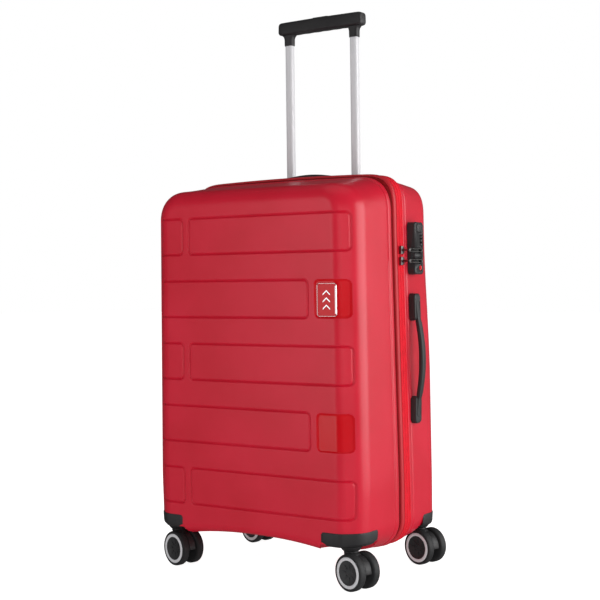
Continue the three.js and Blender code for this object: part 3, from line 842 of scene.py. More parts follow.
def lining_tray():
    """Cloth tray glued inside the back half, with a bound edge."""
    depth = LINING_FLOOR - LINING_RIM
    reach = ROUND_SIDE - LINING_GAP
    foot = ROUND_BOTTOM - LINING_GAP
    side, top, bottom = (Run([(0, 0), (near_floor, 0), (at_rim, depth)], [11], 24.0)
                         for near_floor, at_rim in ((reach - 0.5, reach),
                                                    (reach - 4.8, reach - 1.2),
                                                    (foot - 7.4, foot - 1.4)))
    x_rows = axis_lines(-CORNER_X, CORNER_X, [], side, side, 9.0, 3.0)
    z_rows = axis_lines(CORNER_BOTTOM, CORNER_TOP, [], bottom, top, 9.0, 3.0)
    grid, deep = skin(x_rows, z_rows, side, top, bottom, LINING_FLOOR, 1)
    grid = arch(grid, deep + BASE_FACE - LINING_FLOOR)
    x, z = grid[..., 0], grid[..., 2]
    slack = np.sin(x / 37.0) * np.sin(z / 43.0 + x / 120.0) + 0.6 * np.sin(z / 17.0 - x / 29.0)
    grid[..., 1] -= 0.5 * (slack + 1.6) * np.clip(1 - deep / 6.0, 0, 1)
    grid = raise_wells(grid, 1, WELL_RADIUS + LINING_GAP + 0.6, WELL_ROOF + LINING_GAP)
    tray = build("lining_tray", shaped(grid.reshape(-1, 3)), grid_faces(*grid.shape[:2]), LINING,
                 sharp=70, uvs=cloth_layout(grid))
    thicken(tray, 0.7)
    place(tray, "lining", "back_lining")
    fold = [(-1.6, -1.2), (-0.6, -1.9), (0.6, -1.9), (1.2, -1.0), (1.2, 6.0), (0.6, 6.4),
            (-1.1, 6.4), (-1.6, 6.0)]
    edge = [(-LINING_GAP + out, LINING_RIM + y) for out, y in fold]
    binding = sweep_ring("lining_binding", edge, WEBBING)
    place(binding, "lining", body=BODY_OF["back_lining"])


def divider_panel():
    """Zipped cloth panel that closes the lid half: piped edge, a zip all round, slight slack."""
    edge = on_outline(-9.0, DIVIDER_Y)
    middle = np.array([0.0, DIVIDER_Y, (CORNER_TOP + CORNER_BOTTOM) / 2])
    shares = np.concatenate([np.linspace(1, 0.86, 12), np.linspace(0.83, 0.03, 26)])
    rings = []
    for share in shares:
        ring = middle + (edge - middle) * share
        x, z = ring[:, 0], ring[:, 2]
        pucker = 0.5 * np.sin(np.arange(len(ring)) * 1.9) * math.exp(-((share - 0.95) / 0.03) ** 2)
        slack = 0.7 * np.sin(x / 61.0 + 0.4) * np.sin(z / 83.0) * (1 - share ** 6)
        ring[:, 1] += pucker + slack
        rings.append(ring)
    points, faces = loft(rings, caps=False)
    faces.append(tuple(range(len(points) - len(edge), len(points))))
    uvs = [(x / 1000, z / 1000) for x, _, z in points]
    panel = build("divider_panel", shaped(points), faces, LINING, sharp=70, uvs=uvs)
    thicken(panel, 0.8)
    place(panel, "lining", "lid_divider")
    piping = [(-9.4 + 1.5 * math.cos(a), 1.5 * math.sin(a))
              for a in np.linspace(0, 2 * math.pi, 10, endpoint=False)]
    tape = [(-33, 0.4), (-21, 0.4), (-21, 1.1), (-25.2, 1.3), (-25.6, 2.0), (-28.4, 2.0),
            (-28.8, 1.3), (-33, 1.1)]
    for name, section in (("divider_piping", piping), ("divider_zip", tape)):
        ring = sweep_ring(name, [(out, DIVIDER_Y + y) for out, y in section], WEBBING)
        place(ring, "lining", body=BODY_OF["lid_divider"])


def strap(label, low, high):
    """Webbing with thick woven edges that dips a little between its ends."""
    length, width = high[0] - low[0], high[2] - low[2]
    middle_y, middle_z = (low[1] + high[1]) / 2, (low[2] + high[2]) / 2
    section = rounded_outline(width / 2, 0.8, 0.7, 3)
    rings, uvs = [], []
    for share in np.linspace(0, 1, 33):
        x = low[0] + share * length
        dip = 1.6 * math.sin(math.pi * share) ** 2
        thick = section[:, 1] * np.where(np.abs(section[:, 0]) > width / 2 - 3, 1.15, 1.0)
        rings.append(ring_at(np.column_stack([middle_y - dip + thick, middle_z + section[:, 0]]),
                             x, sideways(0, 0)))
        uvs += [(x / 1000, u / 1000) for u in section[:, 0]]
    webbing = build(f"packing_{label}", *loft(rings), WEBBING, sharp=60, uvs=uvs)
    place(webbing, "lining", label)


def buckle():
    """Side-release buckle: socket with side windows, and a plug whose prongs show in them."""
    low, high = case_box("strap_buckle")
    y0, y1 = low[1] + 1.0, high[1]
    middle_z, half_z = (part[2] for part in middle_and_half("strap_buckle"))

    def half_block(name, x0, x1, narrow):
        centre, half_x = (x0 + x1) / 2, (x1 - x0) / 2
        rings = []
        for y, inset in ((y1, 0.8), (y1 - 0.8, 0), (y0 + 1.4, 0), (y0 + 0.4, 0.6), (y0, 1.8)):
            flat = rounded_outline(half_x - inset, half_z - narrow - inset, 5.0 - inset, 6)
            rings.append(ring_at(flat, y, lambda u, v, w: (centre + u, w, middle_z + v)))
        return build(name, *loft(rings), BLACK, sharp=50)

    def slot_cutter(x0, x1, z0, z1):
        outline = [(x0, z0), (x1, z0), (x1, z1), (x0, z1)]
        return cutter(outline, y0 - 3, y1 + 3, lambda u, v, w: (u, w, v))

    socket = half_block("buckle_socket", low[0], 8.0, 0.0)
    reach = half_z - 7.0
    windows = [slot_cutter(-16, 2, middle_z + side * half_z - 5, middle_z + side * half_z + 5)
               for side in (-1, 1)]
    bar = slot_cutter(low[0] + 4, low[0] + 8, middle_z - reach, middle_z + reach)
    place(cut(socket, *windows, bar), "black_plastic", "strap_buckle")
    plug = half_block("buckle_plug", 8.4, high[0], 1.0)
    ladder = [slot_cutter(high[0] - at - 4, high[0] - at, middle_z - reach, middle_z + reach)
              for at in (4, 12)]
    place(cut(plug, *ladder), "black_plastic", body=BODY_OF["strap_buckle"])
    prongs = []
    for side in (-1, 1):
        outline = [(7, 9), (-4, 12.5), (-13, half_z - 2), (-15.4, half_z - 5), (-15.4, 13),
                   (-6, 8.5), (7, 5)]
        line = [(u, middle_z + side * v) for u, v in outline]
        prongs.append((*prism(line, y0 + 3, y1 - 3, lambda u, v, w: (u, w, v)), 0))
    points, faces, _ = gather(*prongs)
    place(build("buckle_prongs", points, faces, BLACK, bevel=0.5), "black_plastic",
          body=BODY_OF["strap_buckle"])


def hinge_cloth():
    """Strip of cloth up the left side that joins the two halves; it is built flat, and its bend
    line is worked out but not used.
    """
    back, front, foot, head = 12.0, -20.6, 120.0, 590.0
    y, z = np.meshgrid(np.linspace(back, front, 23), np.linspace(foot, head, 95), indexing="ij")
    from_edge = np.minimum(np.minimum(back - y, y - front), np.minimum(z - foot, head - z))
    raised = 2.5 + 0.5 * hollow(from_edge - 2.6, 1.3) + 0.12 * np.sin(z / 4.0) * (from_edge < 1.2)
    x = -(CORNER_X + ROUND_SIDE + raised)
    grid = np.stack([x, y, z], axis=-1)
    cloth = build("hinge_cloth", shaped(grid.reshape(-1, 3)), grid_faces(*grid.shape[:2]),
                  HINGE_CLOTH, sharp=70, uvs=cloth_layout(grid))
    thicken(cloth, 0.9)
    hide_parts("hinge_strip")
    start, end = (tuple(np.array([BEND_X, y, MID_HEIGHT]) / 1000 + ORIGIN)
                  for y in (BEND_BACK, BEND_FRONT))
    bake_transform(cloth)
    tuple(start)
    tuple(end)


def interior():
    lining_tray()
    divider_panel()
    for label in ("strap_left", "strap_right"):
        strap(label, *case_box(label))
    buckle()
    hinge_cloth()


# ---- castors and corner guards ---------------------------------------------------------
GUARD_FOOT, GUARD_HEAD = 72.6, 92.4
GUARD_START, GUARD_END = 143.4, 66.0    # across the face, and how far back along the side
WEB_HEIGHT = 68.2           # underside of a guard, between its rim and the swivel socket


def castor_frame(side_x, side_y):
    """Turns (along the trail, along the axle, height) into case millimetres."""
    cosine, sine = math.cos(SWIVEL), math.sin(SWIVEL)

    def frame_of(a, b, z):
        return (side_x * STEM_X + a * cosine - b * sine,
                side_y * STEM_Y + a * sine + b * cosine, z)
    return frame_of


def guard_path(side_x, side_y):
    """Plan line of the case corner at guard height, from the face round to the side."""
    face_y = LID_FACE if side_y < 0 else BASE_FACE
    line = fillet([(GUARD_START - CORNER_X, 0), SIDE_SHOULDER, SIDE_KNEE, (59.5, GUARD_END)],
                  [14, 36], 12)
    dense = [line[0]]
    for point in line[1:]:
        gap = np.linalg.norm(point - dense[-1])
        parts = max(1, int(gap / 3.0))
        dense += [dense[-1] + (point - dense[-1]) * (i + 1) / parts for i in range(parts)]
    line = np.array(dense)
    normal = right_of(np.gradient(line, axis=0))
    plan = np.stack([side_x * (CORNER_X + line[:, 0]) * width_at(face_y, 86),
                     face_y - side_y * line[:, 1]], axis=1)
    outward = np.stack([side_x * normal[:, 0], -side_y * normal[:, 1]], axis=1)
    return plan, outward, lengths(line)


def foot_round(z):
    """How far the rounded foot of the case has drawn in at a height."""
    return ROUND_SIDE * (1 - math.sqrt(1 - ((CORNER_BOTTOM - z) / ROUND_BOTTOM) ** 2))


def corner_guard(label, side_x, side_y):
    """Moulded guard that wraps the corner, with a web and a funnel down to the swivel."""
    plan, outward, run = guard_path(side_x, side_y)
    stem = np.array([side_x * STEM_X, side_y * STEM_Y])
    rows = []
    for point, normal, along in zip(plan, outward, run):
        from_end = min(along, run[-1] - along)
        full = math.sqrt(max(0.0, 1 - (1 - min(1, from_end / 5.0)) ** 2))
        foot = GUARD_FOOT + 3.6 * (1 - smooth(from_end / 12.0))
        head = GUARD_HEAD - 4.0 * (1 - full)
        section = [(-1.2, head + 0.1), (0.3, head + 0.1), (0.8, head - 0.5), (1.05, head - 1.6),
                   (1.05, foot + 4.4), (0.8, foot + 2.2), (0.2, foot + 0.4),
                   (-1.2, foot - 1.2), (-3.4, foot - 2.6), (-7.0, foot - 3.8)]
        ring = []
        for outset, z in section:
            proud = outset * (full if outset > 0 else 1)
            spot = point + normal * (proud - 0.25 * foot_round(z) * abs(normal[0]))
            ring.append((*spot, z))
        inner = point - normal * 11.0
        to_stem = stem - inner
        away = np.linalg.norm(to_stem)
        for share in (0.5, 1.0):
            spot = inner + to_stem * share * max(0.0, (away - 16) / away)
            ring.append((*spot, WEB_HEIGHT))
        rows.append(np.array(ring))
    wrap = np.concatenate(rows), grid_faces(len(rows), len(rows[0])), 0
    funnel, funnel_faces, _ = lathe(
        [(18.0, 70.5), (18.0, 68.6), (17.4, 67.0), (16.4, 65.2), (15.0, 63.4), (14.2, 62.2),
         (13.2, 61.9), (5.4, 61.9), (5.4, 66.0)], castor_frame(side_x, side_y))
    points, faces, _ = gather(wrap, (funnel, funnel_faces, 0))
    place(build(f"guard_{label}", points, faces, BLACK, sharp=50), "black_plastic",
          f"corner_guard_{label}")


def castor_fork(label, frame_of):
    """Rounded cover between the wheels, a shoulder over it and the neck of the swivel."""
    half, cover = 6.4, 26
    arc = [math.radians(a) for a in range(-4, 185, 6)]
    outline = [(TRAIL + cover * math.cos(a), WHEEL_RADIUS + cover * math.sin(a)) for a in arc]
    outline += [(TRAIL - 9, 23.5), (TRAIL + 9, 23.5)]
    shoulder = [(-10.5, 43), (TRAIL + 4, 43), (TRAIL + 2, 56.5), (9.5, 60.6), (-8.5, 60.6),
                (-10.5, 57)]
    blocks = [(*prism(line, -half, half, lambda a, z, b: frame_of(a, b, z)), 0)
              for line in (outline, shoulder)]
    neck, neck_faces, _ = lathe(
        [(0, 57.0), (11.2, 57.0), (12.0, 58.0), (12.0, 60.8), (11.4, 61.5), (5.0, 61.6),
         (5.0, 71.4), (0, 71.4)], frame_of, 40)
    points, faces, _ = gather(*blocks, (neck, neck_faces, 0))
    place(build(f"fork_{label}", points, faces, BLACK, bevel=0.7), "black_plastic",
          f"castor_fork_{label}")


def castor_wheel(label, suffix, outer, frame_of):
    """Tyre, bright trim ring and a dished hub cap with short ribs; outer is -1 or 1."""
    middle = outer * WHEEL_OFFSET

    def wheel_frame(u, v, along):
        return frame_of(TRAIL + u, middle + outer * along, WHEEL_RADIUS + v)

    profile = [(0, 3.3), (4.6, 3.5), (5.6, 2.6), (7.0, 2.5), (13.5, 3.2), (17.6, 4.6),
               (20.0, 6.6), (20.6, 7.1), (21.2, 7.35), (22.8, 7.45), (24.2, 7.3),
               (24.7, 6.9), (25.3, 6.3), (26.2, 6.9), (28.2, 6.8), (29.3, 5.9), (29.9, 4.4),
               (30.0, 2.2), (30.0, -2.2), (29.9, -4.4), (29.3, -5.9), (28.2, -6.8),
               (26.4, -7.3), (12.0, -7.3), (11.0, -6.2), (6.0, -6.2), (5.4, -7.3), (4.3, -7.3),
               (4.3, 2.0), (0, 2.0)]
    points, faces, steps = lathe(profile, wheel_frame, 72)
    finishes = [1 if step < 6 else 2 if step < 12 else 0 for step in steps]
    parts = [(points, faces, finishes)]
    for i in range(8):
        angle = math.pi / 4 * i
        u, v = math.cos(angle), math.sin(angle)
        rib = [(u * r - v * w, v * r + u * w) for r, w in
               ((7.5, -0.9), (16.4, -1.5), (17.4, 0), (16.4, 1.5), (7.5, 0.9))]
        parts.append((*prism(rib, 2.4, 4.0, wheel_frame), 1))
    points, faces, finishes = gather(*parts)
    node = f"wheel_{label}_{suffix}"
    wheel = build(f"twin_{node}", points, faces, [RUBBER, HUB, SATIN], sharp=32,
                  face_finish=finishes)
    place(wheel, "wheel_rubber", node)


CORNERS = (("front_left", -1, -1), ("front_right", 1, -1), ("rear_left", -1, 1),
           ("rear_right", 1, 1))


def castors():
    for label, side_x, side_y in CORNERS:
        frame_of = castor_frame(side_x, side_y)
        corner_guard(label, side_x, side_y)
        castor_fork(label, frame_of)
        castor_wheel(label, "a", -1, frame_of)
        castor_wheel(label, "b", 1, frame_of)


# ---- trolley ---------------------------------------------------------------------------
TUBE_X, TUBE_Y = 70.0, 93.0
TUBE_WIDE, TUBE_DEEP, TUBE_ROUND = 15.0, 12.0, 4.0
TUBE_FOOT, TUBE_HEAD = 560.2, 937.8
DIMPLES = (912.0, 899.0)    # the tubes' stop dimples; the left tube has one more lower down
LOW_DIMPLE = 676.0
CUP_FLOOR = 636.0


def tube_loft(name, x, stations, finish, bevel=0.0):
    """A rounded bar up a trolley tube's line; stations are (z, width, depth, corner round)."""
    rings = []
    for z, width, depth, radius in stations:
        rings.append(ring_at(rounded_outline(width / 2, depth / 2, radius), z,
                             upright(x, TUBE_Y)))
    return build(name, *loft(rings), finish, bevel=bevel)


def trolley_tube(side, label):
    """Sliding tube with its pressed dimples and the collar under the grip."""
    x = side * TUBE_X
    ends = [(z, TUBE_WIDE, TUBE_DEEP, TUBE_ROUND) for z in (TUBE_FOOT, TUBE_HEAD)]
    tube = tube_loft(f"tube_{label}", x, ends, SATIN)
    place(tube, "satin_aluminium", f"inner_tube_{label}")
    parts = []
    for z in (*DIMPLES, LOW_DIMPLE) if side < 0 else DIMPLES:
        def spot_frame(u, v, along, z=z):
            return (x + u, TUBE_Y - TUBE_DEEP / 2 - along, z + v)
        points, faces, _ = lathe([(0, 0.02), (1.2, 0.04), (1.6, 0.32), (2.0, 0.1), (2.1, -0.5)],
                                 spot_frame, 24)
        parts.append((points, faces, 0))
    points, faces, _ = gather(*parts)
    place(build(f"tube_dimples_{label}", points, faces, SATIN), "satin_aluminium",
          body="trolley")
    collar = tube_loft(f"collar_{label}", x,
                       [(926.3, 15.6, 12.6, 4.2), (926.6, 17.4, 14.4, 4.8), (938.5, 17.8, 15.0, 5),
                        (942.5, 19.6, 16.0, 5), (945.6, 25.5, 17.0, 5.4)], BLACK, 0.3)
    place(collar, "black_plastic", f"trolley_collar_{label}")


def trolley_grip():
    """Bar lofted across its width: bevelled ends, crowned top, finger ridges beneath."""
    middle, (reach, half_y, half_z) = middle_and_half("trolley_grip")
    stations = [(-1.0, 0.70, 0.74), (-0.994, 0.80, 0.84), (-0.98, 0.90, 0.92),
                (-0.96, 0.96, 0.97), (-0.93, 0.99, 1.0)]
    inner = np.arange(-78, 78.1, 1.5) / reach
    shape = stations + [(s, 1.0, 1.0) for s in inner]
    shape += [(-s, tall, deep) for s, tall, deep in reversed(stations)]
    rings = []
    for share, tall, deep in shape:
        x = share * reach
        outline = rounded_outline(half_y * deep, half_z * tall, 5.2 * min(tall, deep), 6)
        outline[:, 0] *= 1 - 0.05 * np.clip(outline[:, 1] / half_z, -1, 1)
        under = outline[:, 1] < -half_z * 0.55
        ridge = 0.4 * (0.5 + 0.5 * math.cos(2 * math.pi * x / 21)) * (abs(x) < 56)
        outline[:, 1] += np.where(under, ridge, 0)
        bulge = 0.6 * math.cos(math.pi / 2 * share)
        outline[:, 1] += np.where(outline[:, 1] > 0, bulge - 0.6, 0)
        rings.append(ring_at(outline, x, sideways(TUBE_Y, middle[2])))
    grip = build("grip_bar", *loft(rings), BLACK, sharp=38)
    centre, half = middle_and_half("trolley_button")
    button_frame = upright(centre[0], centre[1])
    top = case_box("trolley_grip")[1][2]
    recess = cutter(rounded_outline(half[0] + 0.35, half[1] + 0.35, 3.2), top - 11, top + 5,
                    button_frame)
    place(cut(grip, recess), "black_plastic", "trolley_grip")
    foot, head = (corner[2] for corner in case_box("trolley_button"))
    rings = []
    for z, inset in ((foot, 0), (head - 0.9, 0), (head - 0.2, 0.4), (head, 1.4)):
        flat = rounded_outline(half[0] - inset, half[1] - inset, 3.0 - inset * 0.5)
        rings.append(ring_at(flat, z, button_frame))
    button = build("grip_button", *loft(rings), BLACK_DEEP, sharp=50)
    place(button, "black_plastic", "trolley_button")


def trolley_cup():
    """Recessed cup the grip sits in, with a rounded flange and the two tube mouths."""
    middle, half = middle_and_half("trolley_cup")
    flange_top = case_box("trolley_cup")[1][2]
    frame_of = upright(middle[0], middle[1])
    outer = rounded_outline(half[0], half[1], 9.0, 8)
    walls = rounded_outline(half[0] - 5, half[1] - 4, 6.5, 8)
    inner = rounded_outline(half[0] - 7.5, half[1] - 6.5, 5.0, 8)

    def ring(outline, z, grow=0.0):
        scale = 1 + grow / np.linalg.norm(outline, axis=1, keepdims=True)
        return ring_at(outline * scale, z, frame_of)

    rings = [ring(walls, 633.2), ring(walls, flange_top - 2.2), ring(outer, flange_top - 2.0),
             ring(outer, flange_top - 0.8), ring(outer, flange_top - 0.2, -0.8),
             ring(outer, flange_top, -2.0), ring(inner, flange_top, 0.8),
             ring(inner, flange_top - 0.6), ring(inner, CUP_FLOOR)]
    cup = build("cup", *loft(rings), BLACK, sharp=40)
    mouths = [cutter(rounded_outline(7.9, 6.4, 4.4), CUP_FLOOR - 11, CUP_FLOOR + 9,
                     upright(side * TUBE_X, TUBE_Y)) for side, _ in SIDES]
    place(cut(cup, *mouths), "black_plastic", "trolley_cup")
    for side, label in SIDES:
        lip = []
        for rise, grow in ((0.2, 2.0), (1.5, 2.0), (1.9, 2.4), (1.9, 3.4), (1.5, 3.8), (0.2, 4.0)):
            flat = rounded_outline(TUBE_WIDE / 2 + grow, TUBE_DEEP / 2 + grow,
                                   TUBE_ROUND + grow)
            lip.append(ring_at(flat, CUP_FLOOR + rise, upright(side * TUBE_X, TUBE_Y)))
        mouth_lip = build(f"tube_mouth_{label}", *loft(lip, caps=False), BLACK, sharp=40)
        place(mouth_lip, "black_plastic", body="case_base")


def trolley():
    for side, label in SIDES:
        trolley_tube(side, label)
    trolley_grip()
    trolley_cup()


# ---- carry handles ---------------------------------------------------------------------
HANDLE_LENGTH, MOUNT_LENGTH, MOUNT_HALF, MOUNT_PROUD = 219.0, 46.0, 10.0, 11.0
GRIP_INSET = 11.0           # the grip's ends stop this short of the seats' outer ends
INTO_WALL = 4.5             # seats reach this far into the shell they are screwed to


def handle_frames():
    """Local (length, width, height above the shell) to case millimetres, side and top."""
    side_low, side_high = case_box("side_handle_mount_a")
    other = case_box("side_handle_mount_b")
    side_y = (side_low[1] + side_high[1]) / 2
    side_z = (min(side_low[2], other[0][2]) + max(side_high[2], other[1][2])) / 2
    top_low, top_high = case_box("top_handle_mount_a")
    top_y = (top_low[1] + top_high[1]) / 2
    return (
        ("side_handle", lambda a, b, h: (side_low[0] + h, side_y + b, side_z - a)),
        ("top_handle", lambda a, b, h: (a, top_y + b, top_low[2] + h)),
    )


def handle_mount(label, suffix, way, frame_of):
    """Seat screwed to the shell, with the open channel that the grip's end lies in."""
    inner = HANDLE_LENGTH / 2 - MOUNT_LENGTH

    def plan(grow, height, slack=0.0):
        flat = rounded_outline(MOUNT_LENGTH / 2 + grow, MOUNT_HALF + grow, 6.5 + grow, 6)
        centre = way * (inner + MOUNT_LENGTH / 2)
        slope = 1.6 * np.clip(way * flat[:, 0] / (MOUNT_LENGTH / 2), 0, 1) ** 2 * slack
        return np.array([frame_of(centre + u, v, height - s) for (u, v), s in zip(flat, slope)])

    rings = [plan(0, -INTO_WALL), plan(0, MOUNT_PROUD - 2.4, 1), plan(-0.5, MOUNT_PROUD - 0.9, 1),
             plan(-1.6, MOUNT_PROUD - 0.1, 1), plan(-2.6, MOUNT_PROUD, 1)]
    block = build(f"{label}_seat_{suffix}", *loft(rings), BLACK, sharp=55)
    half, bed, above = 6.8, 2.6, 30
    centre = way * (inner + 15.5)
    channel = cutter(rounded_outline(20.5, half, 4.0), bed, above,
                     lambda u, v, w: frame_of(centre + u - way * 2, v, w))
    mouth = cutter([(-8, -half), (8, -half), (8, half), (-8, half)], bed, above,
                   lambda u, v, w: frame_of(way * inner + u, v, w))
    soften(cut(block, channel, mouth), 0.35)
    place(block, "black_plastic", f"{label}_mount_{suffix}")


def handle_grip(label, frame_of):
    """Bowed grip, thicker in the middle, with a raised pad along its outside."""
    reach = HANDLE_LENGTH / 2 - GRIP_INSET
    shares = np.concatenate([np.linspace(-1, -0.52, 16), np.linspace(-0.5, 0.5, 40),
                             np.linspace(0.52, 1, 16)])
    rings = []
    for share in shares:
        away = abs(share)
        rise = 4.4 + 9.2 * (0.5 + 0.5 * math.cos(math.pi * min(1.0, away ** 1.25 * 1.04)))
        waist = smooth((away - 0.60) / 0.08) * (1 - smooth((away - 0.70) / 0.08))
        thick = 6.4 + 1.9 * (1 - away) - 0.6 * waist
        half = 6.0 + 0.35 * (1 - away) - 0.7 * waist
        if away > 0.985:
            half -= 1.4 * (away - 0.985) / 0.015
        flat = rounded_outline(half, thick / 2, 2.3, 5)
        step = 0.55 * smooth((0.53 - away) / 0.03)
        flat[:, 0] += np.where(np.abs(flat[:, 1]) < thick * 0.24, np.sign(flat[:, 0]) * step, 0)
        rings.append(np.array([frame_of(share * reach, u, rise + thick / 2 + v)
                               for u, v in flat]))
    place(build(f"{label}_bow", *loft(rings), BLACK, sharp=34), "black_plastic", f"{label}_grip")


def handles():
    for label, frame_of in handle_frames():
        handle_mount(label, "a", -1, frame_of)
        handle_mount(label, "b", 1, frame_of)
        handle_grip(label, frame_of)


# ---- lock, zip sliders and loops -------------------------------------------------------
def plate(name, middle, half, radius, layers, finish=BLACK, **how):
    """Rounded plate that faces out of the side wall; layers are (x, inset)."""
    rings = []
    for x, inset in layers:
        flat = rounded_outline(half[1] - inset, half[2] - inset, radius - inset * 0.6, 7)
        rings.append(ring_at(flat, x, sideways(middle[1], middle[2])))
    return build(name, *loft(rings), finish, **how)


DIALS = ("lock_dial_1", "lock_dial_2", "lock_dial_3")


def lock_case():
    """Lock body with slots for the loops and seats for the button, the key and the dials."""
    low, high = case_box("lock_body")
    middle, half = middle_and_half("lock_body")
    front = high[0]
    body = plate("lock_case", middle, half, 7.0,
                 [(low[0] - INTO_WALL, 0), (front - 2.2, 0), (front - 1.0, 0.4),
                  (front - 0.3, 1.2), (front, 2.4)], [BLACK, BLACK_DEEP], sharp=60)
    cutters = []
    for suffix in ("upper", "lower"):
        slot_z = middle_and_half(f"pull_loop_{suffix}")[0][2]
        start = middle[1] - half[1] - 2
        outline = [(start, -4.4), (50.5, -4.4), (51.6, 0), (50.5, 4.4), (start, 4.4)]
        cutters.append(cutter(outline, front - 3.6, front + 2, sideways(0, slot_z)))
    button, button_half = middle_and_half("lock_button")
    key, key_half = middle_and_half("key_cylinder")
    dials_low = np.min([case_box(node)[0] for node in DIALS], axis=0)
    dials_high = np.max([case_box(node)[1] for node in DIALS], axis=0)
    window, window_half = (dials_low + dials_high) / 2, (dials_high - dials_low) / 2
    for at, room, radius, depth in (
            (button, button_half + 0.35, 4.4, 4.6),
            (key, key_half + 0.3, key_half[1] + 0.3 - 0.02, 4.8),
            (window, window_half + [0, 0.3, 0.4], 1.2, 8.8)):
        cutters.append(plate("cutter", at, room, radius, [(front - depth, 0), (front + 2, 0)],
                             BLACK_DEEP))
    place(cut(body, *cutters), "black_plastic", "lock_body")


def lock_dials():
    """Notched dials, each with one figure showing."""
    notches = 20
    for index, node in enumerate(DIALS, 1):
        low, high = case_box(node)
        centre = (low + high) / 2
        radius = (high[0] - low[0]) / 2
        rings = []
        for z, inset in ((low[2], 0.5), (low[2] + 0.5, 0), (high[2] - 0.5, 0), (high[2], 0.5)):
            ring = []
            for i in range(notches * 4):
                angle = 2 * math.pi * i / (notches * 4)
                reach = radius - inset - (0.28 if i % 4 == 0 else 0)
                ring.append((centre[0] + reach * math.cos(angle),
                             centre[1] + reach * math.sin(angle), z))
            rings.append(np.array(ring))
        place(build(f"dial_{index}", *loft(rings), BLACK_DEEP, sharp=30), "black_plastic", node)
        digit(f"digit_{index}", "0", (high[0] + 0.02, centre[1], centre[2]), 2.8, BODY_OF[node])


def lock_details():
    """Release button and the key's plug with its red ring and keyway."""
    low, high = case_box("lock_button")
    release = plate("lock_release", *middle_and_half("lock_button"), 4.0,
                    [(low[0], 0), (high[0] - 1.0, 0), (high[0] - 0.3, 0.4), (high[0], 1.2)],
                    sharp=50)
    place(release, "black_plastic", "lock_button")
    lock_dials()
    low, high = case_box("key_cylinder")
    middle, half = middle_and_half("key_cylinder")
    face, radius = high[0], half[1]
    key_frame = sideways(middle[1], middle[2])
    points, faces, steps = lathe([(0, face - 0.9), (1.9, face - 0.9), (2.1, face - 0.2),
                                  (3.7, face), (4.0, face - 0.3), (4.2, face - 0.9),
                                  (radius - 0.1, face - 0.9), (radius, face - 1.4),
                                  (radius, low[0]), (0, low[0])], key_frame, 40)
    finishes = [0 if step < 4 else 1 for step in steps]
    key = build("key_plug", points, faces, [KEY_RED, BLACK_DEEP], face_finish=finishes)
    keyway = cutter(rounded_outline(0.7, 2.6, 0.5), face - 2.4, face + 1, key_frame)
    place(cut(key, keyway), "key_red", "key_cylinder")


def digit(name, character, centre, height, body):
    """A small raised figure facing +X."""
    curve = bpy.data.curves.new(name, "FONT")
    curve.body = character
    curve.align_x = "CENTER"
    curve.align_y = "CENTER"
    curve.size = height / 1000
    curve.extrude = 0.00006
    text = added(name, curve)
    mesh = bpy.data.meshes.new_from_object(
        text.evaluated_get(bpy.context.evaluated_depsgraph_get()))
    bpy.data.objects.remove(text)
    x, y, z = np.array(centre) / 1000 + ORIGIN
    for vertex in mesh.vertices:
        u, v, w = vertex.co
        vertex.co = (x + w, y + u, z + v)
    mesh.materials.clear()
    mesh.materials.append(DIGIT_PAINT)
    place(added(name, mesh), "steel", body=body)


def zip_pulls():
    """Sliders, each a shoe on the tape with a bridge that holds its pull loop."""
    for suffix in ("upper", "lower"):
        node = f"zip_slider_{suffix}"
        seat = case_box(node)[0][0]
        loop_x, _, z = middle_and_half(f"pull_loop_{suffix}")[0]
        shoe = [(-5.0, -6.6), (-5.0, 6.6), (-2.0, 7.0), (3.0, 6.0), (5.5, 3.4), (5.5, -3.4),
                (3.0, -6.0), (-2.0, -7.0)]
        body = prism([(u + ZIP_PLANE, v) for u, v in shoe], seat - 0.9, seat + 3.4,
                     sideways(0, z))
        bridge_line = [(-1.5, seat + 2.8), (-1.5, loop_x + 1.2), (0.6, loop_x + 3.2),
                       (5.6, loop_x + 3.2), (8.6, loop_x + 1.4), (8.8, loop_x - 2.6),
                       (7.0, loop_x - 2.6), (6.9, loop_x - 0.6), (6.1, loop_x + 1.1),
                       (3.6, loop_x + 1.1), (2.6, loop_x - 0.6), (2.8, seat + 2.8)]
        bridge = prism([(u + ZIP_PLANE - 1.2, x) for u, x in bridge_line], -1.5, 1.5,
                       lambda u, x, w: (x, u, z + w))
        points, faces, _ = gather((*body, 0), (*bridge, 0))
        place(build(f"slider_{suffix}", points, faces, STEEL, bevel=0.45), "steel", node)
        pull_loop(suffix)


def pull_loop(suffix):
    """Wire loop: two legs and two round ends, one wire thick."""
    node = f"pull_loop_{suffix}"
    low, high = case_box(node)
    x, _, z = middle_and_half(node)[0]
    wire = 0.8
    half = (high[2] - low[2]) / 2 - wire - 1.3
    first, last = low[1] + wire + half, high[1] - wire - half
    line = []
    for centre, start in ((first, math.pi / 2), (last, -math.pi / 2)):
        for i in range(17):
            angle = start + math.pi * i / 16
            line.append((centre + half * math.cos(angle), z + half * math.sin(angle)))
    line = np.array(line)
    normal = right_of(np.roll(line, -1, axis=0) - np.roll(line, 1, axis=0))
    rings = []
    for point, out in zip(line, normal):
        ring = []
        for i in range(12):
            angle = 2 * math.pi * i / 12
            spot = point + out * wire * math.cos(angle)
            ring.append((x + wire * math.sin(angle), spot[0], spot[1]))
        rings.append(np.array(ring))
    loop = build(f"loop_{suffix}", *loft(rings, closed=True), STEEL, sharp=60)
    place(loop, "steel", node)


# ---- emblem ----------------------------------------------------------------------------
BADGE_X, BADGE_Z = 159.0, 464.0
BADGE_HALF_WIDE, BADGE_HALF_HIGH = 18.5, 26.5


